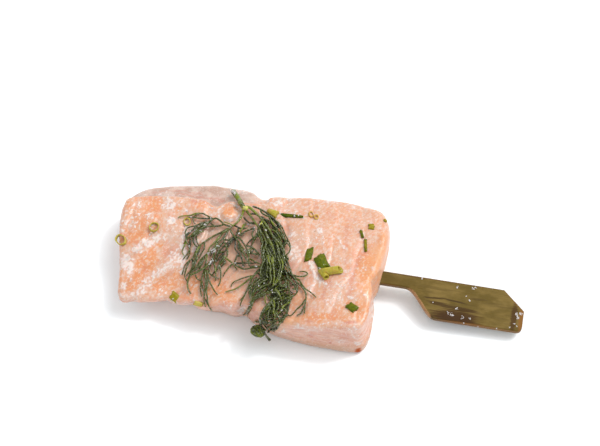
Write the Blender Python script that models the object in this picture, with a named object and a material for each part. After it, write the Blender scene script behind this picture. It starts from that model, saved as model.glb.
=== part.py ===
"""Cooked salmon skewer: one slab of salmon on a flat bamboo paddle skewer, with chives and a sprig of dill.

The skewer runs along X with its handle at +X, the shown side of the fish is up, and the fish rests
on z = 0. All sizes below are in millimetres, and each mesh is scaled to metres when it is made.
"""
import math
import random

import bmesh
import bpy
import numpy as np
from mathutils import Matrix, Vector
from mathutils.bvhtree import BVHTree

MM = 0.001

# Fish: outline seen from above, counter-clockwise from the thin front left corner
OUTLINE = [
    (-31.8, -19.2), (-26.0, -18.3), (-18.5, -17.5), (-10.0, -17.9), (-3.0, -17.6), (2.6, -17.3),
    (6.4, -18.5), (11.0, -19.8), (18.0, -19.9), (25.0, -19.5), (31.8, -18.9), (35.3, -18.0),
    (36.7, -14.5), (36.9, -7.5), (37.3, -1.0), (38.2, 5.0), (38.5, 11.5), (37.3, 17.6), (34.0, 20.9),
    (25.0, 22.1), (14.0, 21.3), (4.0, 19.9), (-5.5, 21.5), (-15.0, 21.1), (-26.0, 18.5),
    (-33.8, 15.6), (-37.9, 11.2), (-38.4, 4.5), (-37.0, -3.5), (-35.2, -11.0), (-34.6, -15.6),
    (-33.9, -18.1),
]
OUTLINE_STEPS = 6
# Torn places in the edge: (x, y, depth, half width)
NOTCHES = [
    (-20.6, -17.4, 1.1, 1.6), (-13.0, -17.8, 0.8, 1.5), (-4.8, -17.8, 0.8, 2.0),
    (1.9, -17.1, 1.5, 1.7), (37.1, -3.6, 1.2, 1.8), (0.6, 20.3, 1.3, 2.4), (-30.0, -18.8, 0.4, 1.5),
]
HALF_LENGTH = 39.0
HALF_WIDTH = 20.0
THICKNESS = {"front_left": 7.5, "front_right": 14.2, "back_left": 12.2, "back_right": 13.0}
CROWN = 2.8
FOOT_RADIUS = 1.6
WALL_BULGE = {"front_left": 0.1, "front_right": 0.1, "back_left": 0.3, "back_right": 0.4}
# The foot of the front right wall stands out as a lip: how far, and up to which share of the height
LIP = {"front_left": 0.0, "front_right": 0.6, "back_left": 0.0, "back_right": 0.0}
LIP_LEVELS = (0.14, 0.3)
WALL_DEPTH = 2.5
RIM_RADIUS = {"front_left": 1.2, "front_right": 1.0, "back_left": 1.7, "back_right": 2.4}
# The walls lean inwards to the foot, most where the thin front left edge overhangs
FOOT_INSET = {"front_left": 7.0, "front_right": -0.7, "back_left": 2.5, "back_right": 0.8}
FOOT_INSET_POWER = 1.15
WALL_LAYERS = {"depth": 0.2, "pitch": 3.0}
BLOCK_HEIGHT = 12.0
FISH_VOXEL = 0.8
FISH_TRIANGLES = 4200
FLAT_BELOW = 0.06
# Clearance between the solids where the real ones touch
GAP = 0.35

# Flakes: the muscle blocks meet in slanted seams, which lean most at the left and bend twice
FLAKE_PITCH = 7.2
FLAKE_PHASE = -18.9
FLAKE_LEAN = (1.0, 0.38)
FLAKE_FRONT_BEND = {"from": 1.0, "slope": 0.85}
FLAKE_BACK_BEND = {"from": 6.0, "slope": 0.32}
FLAKE_BEND_EASE = 3.0
FLAKE_STEP = 0.62
FLAKE_DROP_FROM = 0.86
FLAKE_GROOVE = 0.32
FLAKE_GROOVE_WIDTH = 0.8
# The flakes are flatter at the right and at the back left: how much, and from where to where
FLAKE_CALM_RIGHT = {"share": 0.65, "x": (-5.0, 20.0)}
FLAKE_CALM_BACK_LEFT = {"share": 0.75, "x": (-12.0, 0.0), "y": (3.0, 8.0)}
SWELL = 0.3
# Slow waves of the surface: (across x, across y, phase)
SWELL_WAVES = [
    (0.31, 0.12, 0.4), (-0.14, 0.37, 1.9), (0.52, -0.33, 3.1), (0.23, 0.61, 5.0), (-0.66, 0.21, 0.9),
]
KNOB = {"centre": (-7.5, 10.4), "radius": 2.9, "height": 0.8}
# Behind this line a lower, darker layer of the fillet shows along the back edge
TERRACE_EDGE = [
    (-40.0, 9.6), (-32.0, 12.3), (-21.0, 13.5), (-15.6, 13.5), (-11.9, 12.0), (-8.5, 14.3),
    (-2.5, 14.8), (2.4, 15.6),
]
TERRACE_RIGHT_END = 1.6
TERRACE_DROP = 1.7

# Skewer: a 12 cm bamboo paddle pick, its long straight edge at the back
SKEWER_LENGTH = 116.0
SKEWER_END_X = 79.5
SKEWER_THICKNESS = 2.3
SKEWER_STRAIGHT_Y = 3.25
NECK_WIDTH = 3.8
PADDLE_WIDTH = 11.7
SHOULDER_START, SHOULDER_END = 45.4, 54.9
CHAMFER_START = 73.2
END_CHAMFER_DROP = 5.4
END_CORNER = 1.3
POINT_LENGTH = 15.0
SKEWER_EDGE = 0.35
SKEWER_AT = (0.0, 0.0, 7.0)
SKEWER_DIP = math.radians(2.0)
SKEWER_TURN = math.radians(1.8)
SKEWER_ROLL = math.radians(8.0)

# Chives: rings and short cut tubes (x, y, heading in degrees, tilt in degrees, outer radius, length, how
# oval, slant of the cut ends)
CHIVE_TUBES = [
    (-36.4, -2.1, 54, 78, 1.5, 1.1, 1.22, 0.0), (-27.9, 2.8, 45, 74, 1.5, 1.1, 0.9, 0.0),
    (-18.9, 5.9, 10, 80, 1.05, 0.9, 1.2, 0.0), (24.8, -3.2, 15, 3, 1.08, 4.6, 1.0, 0.6),
    (22.6, -4.4, -45, 5, 0.92, 3.0, 1.0, 0.3), (15.3, 14.6, 10, 80, 0.85, 0.7, 1.2, 0.0),
    (17.0, 14.0, 10, 80, 0.68, 0.7, 1.35, 0.0),
]
# Flat cut pieces of leaf (x, y, heading in degrees, length, width, bow, skew, width at the far end)
CHIVE_STRIPS = [
    (17.3, 1.2, 92, 4.1, 1.95, 0.25, -0.48, 1.95), (21.3, -0.8, 123, 4.4, 3.4, 0.9, -0.17, 3.3),
    (-18.0, -15.8, -32, 2.5, 2.4, 0.3, -0.12, 2.4), (-10.9, -17.0, -11, 2.35, 1.4, 0.2, 0.2, 1.4),
    (32.1, -12.7, -28, 2.8, 2.2, 0.5, 0.25, 2.2), (33.0, 13.6, 11, 1.55, 1.8, 0.2, 0.0, 1.8),
    (36.3, 17.0, 11, 0.9, 0.8, 0.1, 0.1, 0.7), (30.7, 10.6, -66, 2.3, 0.8, 0.3, 0.1, 0.8),
    (32.4, 7.2, -79, 4.0, 0.85, 0.4, 0.0, 0.8), (9.6, 13.0, 1, 7.3, 1.4, 0.3, 0.2, 0.6),
    (4.5, 12.8, -20, 3.2, 1.5, 0.4, 0.0, 2.4),
]
CHIVE_SIDES = 9
CHIVE_WALL = 0.42
CHIVE_SINK = 0.3
CHIVE_THICKNESS = 0.45
CHIVE_FOOT = 0.6

# Dill: the stem's cut end, then branches as seen from above, each from where it leaves the stem
STEM_RADIUS = 0.8
STEM = [(-8.6, 16.9), (-6.4, 14.9), (-3.9, 12.6)]
BRANCHES = {
    "left": [(-3.9, 12.6), (-4.6, 8.2), (-6.5, 5.1), (-10.3, 1.3), (-13.6, -2.1), (-15.2, -6.8),
             (-15.9, -11.6)],
    "left_inner": [(-6.5, 5.1), (-7.3, 1.2), (-9.7, -2.9), (-11.1, -5.4), (-13.7, -9.3)],
    "left_upper": [(-5.6, 6.6), (-8.9, 6.2), (-11.6, 7.0), (-14.9, 8.0), (-18.2, 6.7)],
    "left_curl": [(-11.2, 6.8), (-13.8, 4.8), (-15.9, 2.6), (-17.2, -1.2), (-17.3, -6.0)],
    "left_low": [(-9.9, -3.4), (-10.6, -7.0), (-10.4, -11.8), (-9.4, -16.0)],
    "middle": [(-6.2, 4.7), (-3.6, 2.0), (-1.1, -0.8), (0.6, -4.4), (-0.6, -9.4)],
    "main": [(-3.9, 12.6), (-0.8, 9.1), (2.7, 5.2), (4.7, -1.0), (4.6, -7.0), (3.0, -13.0)],
    "right": [(-3.8, 12.6), (-0.2, 12.6), (4.2, 11.4), (8.4, 8.2), (11.2, 3.9), (12.4, -1.8), (14.2, -7.0)],
    "right_low": [(12.6, -3.0), (15.6, -7.4), (18.2, -10.4), (19.0, -14.4)],
}
BRANCH_RADIUS = (0.42, 0.26)
# How many threads leave each branch, and how long they are
THREADS = {
    "left": (13, 7.0), "left_inner": (7, 6.5), "left_upper": (8, 5.0), "left_curl": (7, 5.5),
    "left_low": (7, 6.0), "middle": (8, 6.0), "main": (6, 7.0), "right": (7, 6.5), "right_low": (6, 5.5),
}
# The thick bundle that runs down the slab, forks, and hangs over its front edge (x, y, half width)
BUNDLE = [
    (0.4, 12.4, 1.2), (2.2, 10.9, 2.0), (4.4, 7.8, 3.1), (6.4, 3.6, 3.6), (7.8, -1.6, 3.8),
    (9.0, -6.0, 4.6), (10.6, -9.6, 5.0), (11.6, -12.8, 4.4), (11.7, -15.4, 3.4), (11.3, -18.0, 3.5),
]
LEFT_FORK = [(7.6, -4.6, 2.4), (6.0, -8.0, 2.7), (5.4, -11.4, 2.6), (4.6, -14.0, 1.3), (4.1, -15.9, 0.8)]
BUNDLE_THREADS = 22
FORK_THREADS = 5
BUNDLE_THICKNESS = 1.9
BUNDLE_EDGE = 0.35
CORE_SHARE = 0.8
CORE_COLUMNS = 7
# Its end hangs over the fish's front edge and carries a curled ball (x, y, z), with the radius at both ends
TAILS = {
    "end": ((1.5, 0.9), [(11.5, -14.2, 15.6), (11.3, -17.6, 15.2), (10.6, -20.6, 13.2), (9.6, -21.6, 9.6)]),
    "ball": ((0.7, 1.7), [(9.8, -20.0, 12.4), (8.6, -21.0, 9.6), (7.4, -20.9, 7.6), (6.6, -20.6, 5.6)]),
}
TAIL_THREADS = 4
# How far a hanging thread has gone outwards and down at each of its points
TAIL_THREAD_FALL = [(0.2, 0.0), (1.5, 1.0), (2.0, 2.6), (1.7, 4.4)]
THREAD_RADIUS = 0.31
THREAD_TIP_RADIUS = 0.18
THREAD_SIDES = 3
SEED = 18


def smoothstep(low, high, value):
    """0 below low, 1 above high, and a smooth ramp between."""
    t = np.clip((value - low) / (high - low), 0.0, 1.0)
    return t * t * (3.0 - 2.0 * t)


def spline(points, steps, closed=False):
    """Points of any dimension joined by a Catmull-Rom curve, with this many steps to a span."""
    p = np.asarray(points, float)
    if closed:
        p = np.vstack([p[-1], p, p[0], p[1]])
    else:
        p = np.vstack([2 * p[0] - p[1], p, 2 * p[-1] - p[-2]])
    t = (np.arange(steps) / steps)[:, None]
    spans = []
    for a, b, c, d in zip(p, p[1:], p[2:], p[3:]):
        spans.append(0.5 * (2 * b + (c - a) * t + (2 * a - 5 * b + 4 * c - d) * t**2
                            + (3 * b - 3 * c + d - a) * t**3))
    return np.vstack(spans if closed else [*spans, p[-2][None]])


def torn_outline():
    """The slab's outline as a closed polygon, with its notches."""
    ring = spline(OUTLINE, OUTLINE_STEPS, closed=True)
    along = np.roll(ring, -1, 0) - np.roll(ring, 1, 0)
    inward = np.stack([-along[:, 1], along[:, 0]], 1)
    inward /= np.linalg.norm(inward, axis=1)[:, None]
    for x, y, depth, half_width in NOTCHES:
        away = np.hypot(ring[:, 0] - x, ring[:, 1] - y)
        ring = ring + inward * (depth * np.exp(-((away / half_width) ** 2)))[:, None]
    return ring


def edge_distance(xy, ring):
    """How far inside the outline each point is, and the outward direction at its nearest edge."""
    span = np.roll(ring, -1, 0) - ring
    best = np.full(len(xy), np.inf)
    outward = np.zeros_like(xy)
    for a, s in zip(ring, span):
        t = np.clip(((xy - a) @ s) / (s @ s), 0.0, 1.0)
        gap = np.linalg.norm(xy - (a + t[:, None] * s), axis=1)
        closer = gap < best
        best[closer] = gap[closer]
        outward[closer] = np.array([s[1], -s[0]]) / np.linalg.norm(s)
    return best, outward


def corner_blend(x, y, front_left, front_right, back_left, back_right):
    """A value given at the four corners, blended over the slab."""
    u = smoothstep(-HALF_LENGTH, HALF_LENGTH, x)
    v = smoothstep(-HALF_WIDTH, HALF_WIDTH, y)
    return (1 - v) * ((1 - u) * front_left + u * front_right) + v * ((1 - u) * back_left + u * back_right)


def flake_place(x, y):
    """Where a point lies across the flakes, in pitches: whole numbers are on a seam."""
    lean = FLAKE_LEAN[0] + (FLAKE_LEAN[1] - FLAKE_LEAN[0]) * smoothstep(-30.0, 30.0, x)
    front = FLAKE_BEND_EASE * np.log1p(np.exp((FLAKE_FRONT_BEND["from"] - y) / FLAKE_BEND_EASE))
    back = FLAKE_BEND_EASE * np.log1p(np.exp((y - FLAKE_BACK_BEND["from"]) / FLAKE_BEND_EASE))
    shift = FLAKE_FRONT_BEND["slope"] * front + FLAKE_BACK_BEND["slope"] * back
    return (x + lean * shift - FLAKE_PHASE) / FLAKE_PITCH


def flake_relief(x, y):
    """Each flake rises towards the next seam and drops there, with a narrow groove in the seam."""
    place = flake_place(x, y) + 0.06 * np.sin(0.45 * y + 0.2 * x)
    across = place % 1.0
    step = across * (1.0 - smoothstep(FLAKE_DROP_FROM, 1.0, across)) - 0.45
    depth = 0.75 + 0.35 * np.sin(1.7 * np.floor(place) + 0.13 * y)
    off_seam = np.abs((place + 0.5) % 1.0 - 0.5) * FLAKE_PITCH
    return depth * (FLAKE_STEP * step - FLAKE_GROOVE * np.exp(-((off_seam / FLAKE_GROOVE_WIDTH) ** 2)))


def swell(x, y):
    """Slow rises and dips of the cooked surface, about 1 either way."""
    waves = [np.sin(kx * x + ky * y + phase) for kx, ky, phase in SWELL_WAVES]
    return sum(waves) / (0.48 * len(waves))


def terrace(x, y):
    """1 on the low layer along the back left edge, 0 elsewhere."""
    edge_x, edge_y = np.array(TERRACE_EDGE).T
    edge = np.interp(x, edge_x, edge_y)
    return smoothstep(0.0, 1.3, y - edge) * (1.0 - smoothstep(TERRACE_RIGHT_END, TERRACE_RIGHT_END + 1.2, x))


def top_height(x, y):
    """Height of the upper side before its rim is rounded."""
    z = corner_blend(x, y, **THICKNESS)
    z = z + CROWN * (1.0 - (y / (HALF_WIDTH + 1.0)) ** 2) * (1.0 - 0.25 * (x / HALF_LENGTH) ** 2)
    relief = flake_relief(x, y) * (1.0 - 0.6 * terrace(x, y))
    relief = relief * (1.0 - FLAKE_CALM_RIGHT["share"] * smoothstep(*FLAKE_CALM_RIGHT["x"], x))
    calm = smoothstep(*FLAKE_CALM_BACK_LEFT["y"], y) * (1.0 - smoothstep(*FLAKE_CALM_BACK_LEFT["x"], x))
    z = z + relief * (1.0 - FLAKE_CALM_BACK_LEFT["share"] * calm) + SWELL * swell(x, y)
    from_knob = np.hypot(x - KNOB["centre"][0], y - KNOB["centre"][1]) / KNOB["radius"]
    z = z + KNOB["height"] * (1.0 - smoothstep(0.55, 1.0, from_knob))
    return z - TERRACE_DROP * terrace(x, y)


def shape_fish(points, ring):
    """Moves the points of a flat-topped block of the outline to the fish's own surface."""
    x, y = points[:, 0], points[:, 1]
    level = np.clip(points[:, 2] / BLOCK_HEIGHT, 0.0, 1.0)
    inside, outward = edge_distance(points[:, :2], ring)
    top = top_height(x, y)
    radius = corner_blend(x, y, **RIM_RADIUS)
    near = np.clip(1.0 - inside / radius, 0.0, 1.0)
    upper = top - radius * (1.0 - np.sqrt(1.0 - near**2))
    near = np.clip(1.0 - inside / FOOT_RADIUS, 0.0, 1.0)
    lower = FOOT_RADIUS * (1.0 - np.sqrt(1.0 - near**2))
    z = lower + level * (upper - lower)
    layers = np.sin(2.0 * math.pi * z / WALL_LAYERS["pitch"] + 0.35 * x)
    bulge = corner_blend(x, y, **WALL_BULGE)
    side = (bulge + WALL_LAYERS["depth"] * layers) * np.sin(math.pi * level)
    side = side + corner_blend(x, y, **LIP) * (1.0 - smoothstep(*LIP_LEVELS, level))
    shift = side * np.exp(-inside / WALL_DEPTH)
    lean = corner_blend(x, y, **FOOT_INSET) * (1.0 - level) ** FOOT_INSET_POWER
    u, v = x / HALF_LENGTH, y / HALF_WIDTH
    leaning = np.column_stack([u * np.abs(u), v * np.abs(v)]) * lean[:, None]
    return np.column_stack([points[:, :2] + outward * shift[:, None] - leaning, z])


def material(name, colour, roughness):
    made = bpy.data.materials.new(name)
    made.use_nodes = True
    shader = made.node_tree.nodes["Principled BSDF"]
    shader.inputs["Base Color"].default_value = (*colour, 1.0)
    shader.inputs["Roughness"].default_value = roughness
    shader.inputs["Metallic"].default_value = 0.0
    return made


def mesh_object(name, points, faces, made_of=None):
    """A mesh object from points in millimetres."""
    mesh = bpy.data.meshes.new(name)
    mesh.from_pydata([tuple(float(c) * MM for c in p) for p in points], [], [tuple(f) for f in faces])
    mesh.update()
    obj = bpy.data.objects.new(name, mesh)
    bpy.context.scene.collection.objects.link(obj)
    if made_of is not None:
        mesh.materials.append(made_of)
    return obj


def apply_modifiers(obj):
    """Replaces an object's mesh by what its modifiers make of it."""
    graph = bpy.context.evaluated_depsgraph_get()
    graph.update()
    mesh = bpy.data.meshes.new_from_object(obj.evaluated_get(graph))
    old = obj.data
    obj.modifiers.clear()
    obj.data = mesh
    mesh.name = obj.name
    bpy.data.meshes.remove(old)


def join_with(obj, others):
    """One Boolean union of obj and the others, which are then removed."""
    holder = bpy.data.collections.new(obj.name + "_pieces")
    bpy.context.scene.collection.children.link(holder)
    for other in others:
        bpy.context.scene.collection.objects.unlink(other)
        holder.objects.link(other)
    union = obj.modifiers.new("join", "BOOLEAN")
    union.operation = "UNION"
    union.operand_type = "COLLECTION"
    union.collection = holder
    apply_modifiers(obj)
    for other in others:
        bpy.data.objects.remove(other)
    bpy.data.collections.remove(holder)


def face_out(obj):
    """Turns every face of a closed mesh outwards."""
    bm = bmesh.new()
    bm.from_mesh(obj.data)
    bmesh.ops.recalc_face_normals(bm, faces=bm.faces)
    bm.to_mesh(obj.data)
    bm.free()


def keep_largest(obj):
    """Drops loose scraps and fills sealed hollows: only the largest closed surface stays."""
    bm = bmesh.new()
    bm.from_mesh(obj.data)
    bmesh.ops.triangulate(bm, faces=bm.faces)
    unseen = set(bm.faces)
    islands = []
    while unseen:
        island = [unseen.pop()]
        for face in island:
            for edge in face.edges:
                for other in edge.link_faces:
                    if other in unseen:
                        unseen.remove(other)
                        island.append(other)
        islands.append(island)
    islands.sort(key=len)
    loose = [face for island in islands[:-1] for face in island]
    bmesh.ops.delete(bm, geom=loose, context="FACES")
    bm.to_mesh(obj.data)
    bm.free()


def fish_slab(made_of):
    """The slab alone: a block of its outline, meshed evenly, shaped, then thinned where it is plain."""
    ring = torn_outline()
    bm = bmesh.new()
    face = bm.faces.new([bm.verts.new((x * MM, y * MM, 0.0)) for x, y in ring])
    raised = bmesh.ops.extrude_face_region(bm, geom=[face])["geom"]
    bmesh.ops.translate(bm, verts=[v for v in raised if isinstance(v, bmesh.types.BMVert)],
                        vec=(0.0, 0.0, BLOCK_HEIGHT * MM))
    bmesh.ops.recalc_face_normals(bm, faces=bm.faces)
    mesh = bpy.data.meshes.new("salmon")
    bm.to_mesh(mesh)
    bm.free()
    fish = bpy.data.objects.new("salmon", mesh)
    bpy.context.scene.collection.objects.link(fish)
    even = fish.modifiers.new("even", "REMESH")
    even.mode = "VOXEL"
    even.voxel_size = FISH_VOXEL * MM
    apply_modifiers(fish)
    flat = np.empty(len(fish.data.vertices) * 3)
    fish.data.vertices.foreach_get("co", flat)
    shaped = shape_fish(flat.reshape(-1, 3) / MM, ring)
    fish.data.vertices.foreach_set("co", (shaped * MM).ravel())
    fish.data.update()
    triangulate = fish.modifiers.new("split", "TRIANGULATE")
    triangulate.min_vertices = 4
    thin = fish.modifiers.new("thin", "DECIMATE")
    thin.ratio = FISH_TRIANGLES / (2.0 * len(fish.data.polygons))
    apply_modifiers(fish)
    for vertex in fish.data.vertices:
        if vertex.co.z < FLAT_BELOW * MM:
            vertex.co.z = 0.0
    fish.data.materials.clear()
    fish.data.materials.append(made_of)
    fish.data.shade_smooth()
    return fish


def loft(rings):
    """Points and faces of a closed solid through rings of equal size, capped at both ends."""
    size = len(rings[0])
    points = [p for ring in rings for p in ring]
    faces = [list(range(size))[::-1], [len(points) - size + k for k in range(size)]]
    for row in range(len(rings) - 1):
        base = row * size
        for k in range(size):
            after = (k + 1) % size
            faces.append([base + k, base + after, base + size + after, base + size + k])
    return points, faces


def skewer_sides(x):
    """The skewer's lower edge, upper edge and half thickness at x along it."""
    upper = SKEWER_STRAIGHT_Y
    reach = smoothstep(SHOULDER_START, SHOULDER_END, x)
    lower = upper - NECK_WIDTH - (PADDLE_WIDTH - NECK_WIDTH) * reach
    past_chamfer = max(0.0, (x - CHAMFER_START) / (SKEWER_END_X - CHAMFER_START))
    upper = upper - END_CHAMFER_DROP * past_chamfer
    to_end = max(0.0, x - (SKEWER_END_X - END_CORNER))
    lower = lower + END_CORNER - math.sqrt(max(0.0, END_CORNER**2 - to_end**2))
    tip = SKEWER_END_X - SKEWER_LENGTH
    sharp = min(1.0, 0.12 + 0.88 * (x - tip) / POINT_LENGTH)
    centre = (SKEWER_STRAIGHT_Y * 2 - NECK_WIDTH) / 2
    if sharp < 1.0:
        upper = centre + (upper - centre) * sharp
        lower = centre + (lower - centre) * sharp
    return lower, upper, SKEWER_THICKNESS / 2 * min(1.0, 0.35 + 0.65 * sharp)


def skewer_loft(stations, grow=0.0):
    """The skewer's solid through these stations, made larger all round by grow."""
    rings = []
    for x in stations:
        lower, upper, half = skewer_sides(x)
        lower, upper, half = lower - grow, upper + grow, half + grow
        cut = min(SKEWER_EDGE, 0.4 * half, 0.3 * (upper - lower))
        rings.append([
            (x, lower + cut, -half), (x, upper - cut, -half),
            (x, upper, -half + cut), (x, upper, half - cut),
            (x, upper - cut, half), (x, lower + cut, half),
            (x, lower, half - cut), (x, lower, -half + cut),
        ])
    return loft(rings)


def place_skewer(obj):
    """Lies the skewer as it runs through the fish: handle a little down, front edge lower."""
    turn = Matrix.Rotation(SKEWER_TURN, 4, "Z") @ Matrix.Rotation(SKEWER_DIP, 4, "Y")
    obj.matrix_world = (Matrix.Translation(Vector(SKEWER_AT) * MM) @ turn
                        @ Matrix.Rotation(SKEWER_ROLL, 4, "X"))


def skewer_stations():
    tip = SKEWER_END_X - SKEWER_LENGTH
    point = list(np.linspace(tip, tip + POINT_LENGTH, 6))
    plain = list(np.linspace(tip + POINT_LENGTH, SHOULDER_START, 7))[1:]
    shoulder = list(np.linspace(SHOULDER_START, SHOULDER_END, 13))[1:]
    paddle = list(np.linspace(SHOULDER_END, CHAMFER_START, 4))[1:]
    corner = SKEWER_END_X - END_CORNER
    end = [*np.linspace(CHAMFER_START, corner, 4)[1:],
           *(corner + END_CORNER * math.sin(math.radians(a)) for a in (30, 55, 75, 90))]
    return point + plain + shoulder + paddle + end


def skewer_object(made_of):
    points, faces = skewer_loft(skewer_stations())
    skewer = mesh_object("skewer", points, faces, made_of)
    place_skewer(skewer)
    return skewer


def cut_slot(fish):
    """Opens the fish round the skewer, which stays clear of it all along."""
    tip = SKEWER_END_X - SKEWER_LENGTH
    stations = [tip - GAP, *[x for x in skewer_stations() if tip < x < SHOULDER_START + 1.0]]
    points, faces = skewer_loft(stations, grow=GAP)
    cutter = mesh_object("slot_cutter", points, faces)
    place_skewer(cutter)
    cutter.hide_render = True
    cutter.display_type = "WIRE"
    cut = fish.modifiers.new("slot", "BOOLEAN")
    cut.operation = "DIFFERENCE"
    cut.object = cutter
    apply_modifiers(fish)
    bpy.data.objects.remove(cutter)


def tree_of(obj):
    """A search tree over an object's faces, in millimetres."""
    points = [obj.matrix_world @ v.co / MM for v in obj.data.vertices]
    return BVHTree.FromPolygons(points, [p.vertices for p in obj.data.polygons])


def surface_at(tree, x, y, missing):
    """Height of the top of the fish above a point, or the missing value beside it."""
    hit = tree.ray_cast(Vector((x, y, 60.0)), Vector((0.0, 0.0, -1.0)))[0]
    return missing if hit is None else hit.z


def seat(tree, x, y, heading, rise):
    """A frame lying on the fish at a point: local x along the heading, local z off the surface."""
    hit, normal, _, _ = tree.find_nearest(Vector((x, y, surface_at(tree, x, y, 0.0))))
    along = Vector((math.cos(math.radians(heading)), math.sin(math.radians(heading)), 0.0))
    along = (along - along.dot(normal) * normal).normalized()
    turn = Matrix((along, normal.cross(along), normal)).transposed().to_4x4()
    return Matrix.Translation(hit + normal * rise) @ turn


def chive_tube(number, tree, x, y, heading, tilt, radius, length, oval, slant):
    """A slice or short length of hollow chive. Upright at a tilt of 90 degrees, lying at 0."""
    inner = max(0.3, radius - CHIVE_WALL)
    tilt = math.radians(tilt)
    rise = radius * math.cos(tilt) + 0.5 * length * math.sin(tilt) - CHIVE_SINK
    place = seat(tree, x, y, heading, rise) @ Matrix.Rotation(-tilt, 4, "Y")
    points, faces = [], []
    for end, r in ((-0.5, radius), (0.5, radius), (0.5, inner), (-0.5, inner)):
        for k in range(CHIVE_SIDES):
            a = 2 * math.pi * k / CHIVE_SIDES
            back = slant * r * math.sin(a)
            points.append(place @ Vector((end * length - back, oval * r * math.cos(a), r * math.sin(a))))
    for row in range(4):
        for k in range(CHIVE_SIDES):
            after = (k + 1) % CHIVE_SIDES
            here, there = row * CHIVE_SIDES, (row + 1) % 4 * CHIVE_SIDES
            faces.append([here + k, there + k, there + after, here + after])
    return mesh_object(f"chive_tube_{number}", points, faces)


def chive_strip(number, tree, x, y, heading, length, width, bow, skew, far_width):
    """A cut flat piece of leaf, skewed and bowed across its width, lying on the fish."""
    place = seat(tree, x, y, heading, 0.0)
    across = np.linspace(-0.5, 0.5, 5)
    rings = []
    for end, wide in ((-0.5, width), (0.5, far_width)):
        flat = [(end * length + skew * c * wide, c * wide) for c in across]
        tops = CHIVE_THICKNESS + bow * (1.0 - (2 * across) ** 2)
        lower = [place @ Vector((x, y, -CHIVE_FOOT)) for x, y in flat]
        upper = [place @ Vector((x, y, z)) for (x, y), z in zip(flat, tops)]
        rings.append(lower + upper[::-1])
    return mesh_object(f"chive_strip_{number}", *loft(rings))


def salmon(made_of):
    """The slab with the chives fused on and the skewer's slot cut."""
    fish = fish_slab(made_of)
    tree = tree_of(fish)
    chives = [chive_tube(i, tree, *size) for i, size in enumerate(CHIVE_TUBES)]
    chives += [chive_strip(i, tree, *size) for i, size in enumerate(CHIVE_STRIPS)]
    for chive in chives:
        face_out(chive)
    join_with(fish, chives)
    cut_slot(fish)
    keep_largest(fish)
    return fish


def tube(name, path, start_radius, end_radius, sides=THREAD_SIDES):
    """A tapered tube along a path of points, closed at both ends."""
    path = np.asarray(path, float)
    rings = []
    side = np.array((0.0, 0.0, 0.0))
    for i, at in enumerate(path):
        ahead = path[min(i + 1, len(path) - 1)] - path[max(i - 1, 0)]
        ahead = ahead / np.linalg.norm(ahead)
        if i == 0:
            side = np.cross(ahead, (0.0, 0.0, 1.0) if abs(ahead[2]) < 0.9 else (0.0, 1.0, 0.0))
        side = side - side.dot(ahead) * ahead
        side = side / np.linalg.norm(side)
        rise = np.cross(side, ahead)
        radius = start_radius + (end_radius - start_radius) * i / (len(path) - 1)
        turns = [2 * math.pi * (k + 0.5) / sides for k in range(sides)]
        rings.append([at + radius * (math.cos(a) * side + math.sin(a) * rise) for a in turns])
    obj = mesh_object(name, *loft(rings))
    face_out(obj)
    return obj


def highest_near(tree, x, y, reach):
    """The highest surface at a point and this far to its four sides."""
    around = [(0, 0), (reach, 0), (-reach, 0), (0, reach), (0, -reach)]
    return max(surface_at(tree, x + dx, y + dy, 0.0) for dx, dy in around)


def laid(tree, flat, radius, lift):
    """Lays a path seen from above on the fish, never nearer to it than the gap."""
    heights = [highest_near(tree, x, y, radius + 0.5) for x, y in flat]
    lowest = min(h for h in heights if h > 0.0) - 1.0
    heights = [max(h, lowest) for h in heights]
    eased = [max(heights[max(0, i - 1): i + 2]) for i in range(len(heights))]
    lifts = np.broadcast_to(lift, len(flat))
    points = [np.array((x, y, h + radius + GAP + 0.1 + up)) for (x, y), h, up in zip(flat, eased, lifts)]
    return clear_of(tree, points, radius)


def clear_of(tree, points, radius):
    """Pushes path points out until a tube of this radius keeps the gap to the fish."""
    need = radius * 1.25 + GAP
    moved = []
    for p in points:
        spot = Vector(p)
        for _ in range(3):
            near, normal, _, _ = tree.find_nearest(spot)
            away = (spot - near).dot(normal)
            if away >= need:
                break
            spot = near + normal * (need + 0.05)
        moved.append(np.array(spot))
    return moved


def thread_path(rng, start, heading, turning, length, steps=4):
    """A thread seen from above, which leaves at one heading and turns towards another."""
    path = [np.array(start, float)]
    for _ in range(steps):
        path.append(path[-1] + length / steps * np.array((math.cos(heading), math.sin(heading))))
        heading += turning / steps + rng.uniform(-0.15, 0.15)
    return path


def branch_threads(rng, tree, name, flat, count, reach):
    """Threads that leave a branch on both sides and bend round to run along it."""
    line = spline(flat, 6)
    made = []
    for i in range(count):
        t = (i + 0.6) / count
        at = int(t * (len(line) - 2))
        ahead = line[at + 1] - line[at]
        side = 1 if i % 2 else -1
        leave = side * rng.uniform(0.75, 1.15)
        heading = math.atan2(ahead[1], ahead[0]) + leave
        length = reach * rng.uniform(0.75, 1.25) * (1.0 - 0.3 * t)
        path = thread_path(rng, line[at], heading, -leave * rng.uniform(0.9, 1.7), length)
        lift = 0.05 + 0.8 * rng.random() * np.sin(np.linspace(0.3, math.pi, len(path)))
        path = laid(tree, path, THREAD_RADIUS, lift)
        made.append(tube(f"{name}_{i}", path, THREAD_RADIUS, THREAD_TIP_RADIUS))
    return made


def bundle_rise(across, half):
    """Height of the mat's upper side over its base, at a place across it from -1 to 1."""
    return BUNDLE_EDGE + BUNDLE_THICKNESS * (1.0 - across * across) * min(1.0, 0.4 + half / 4.0)


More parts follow.
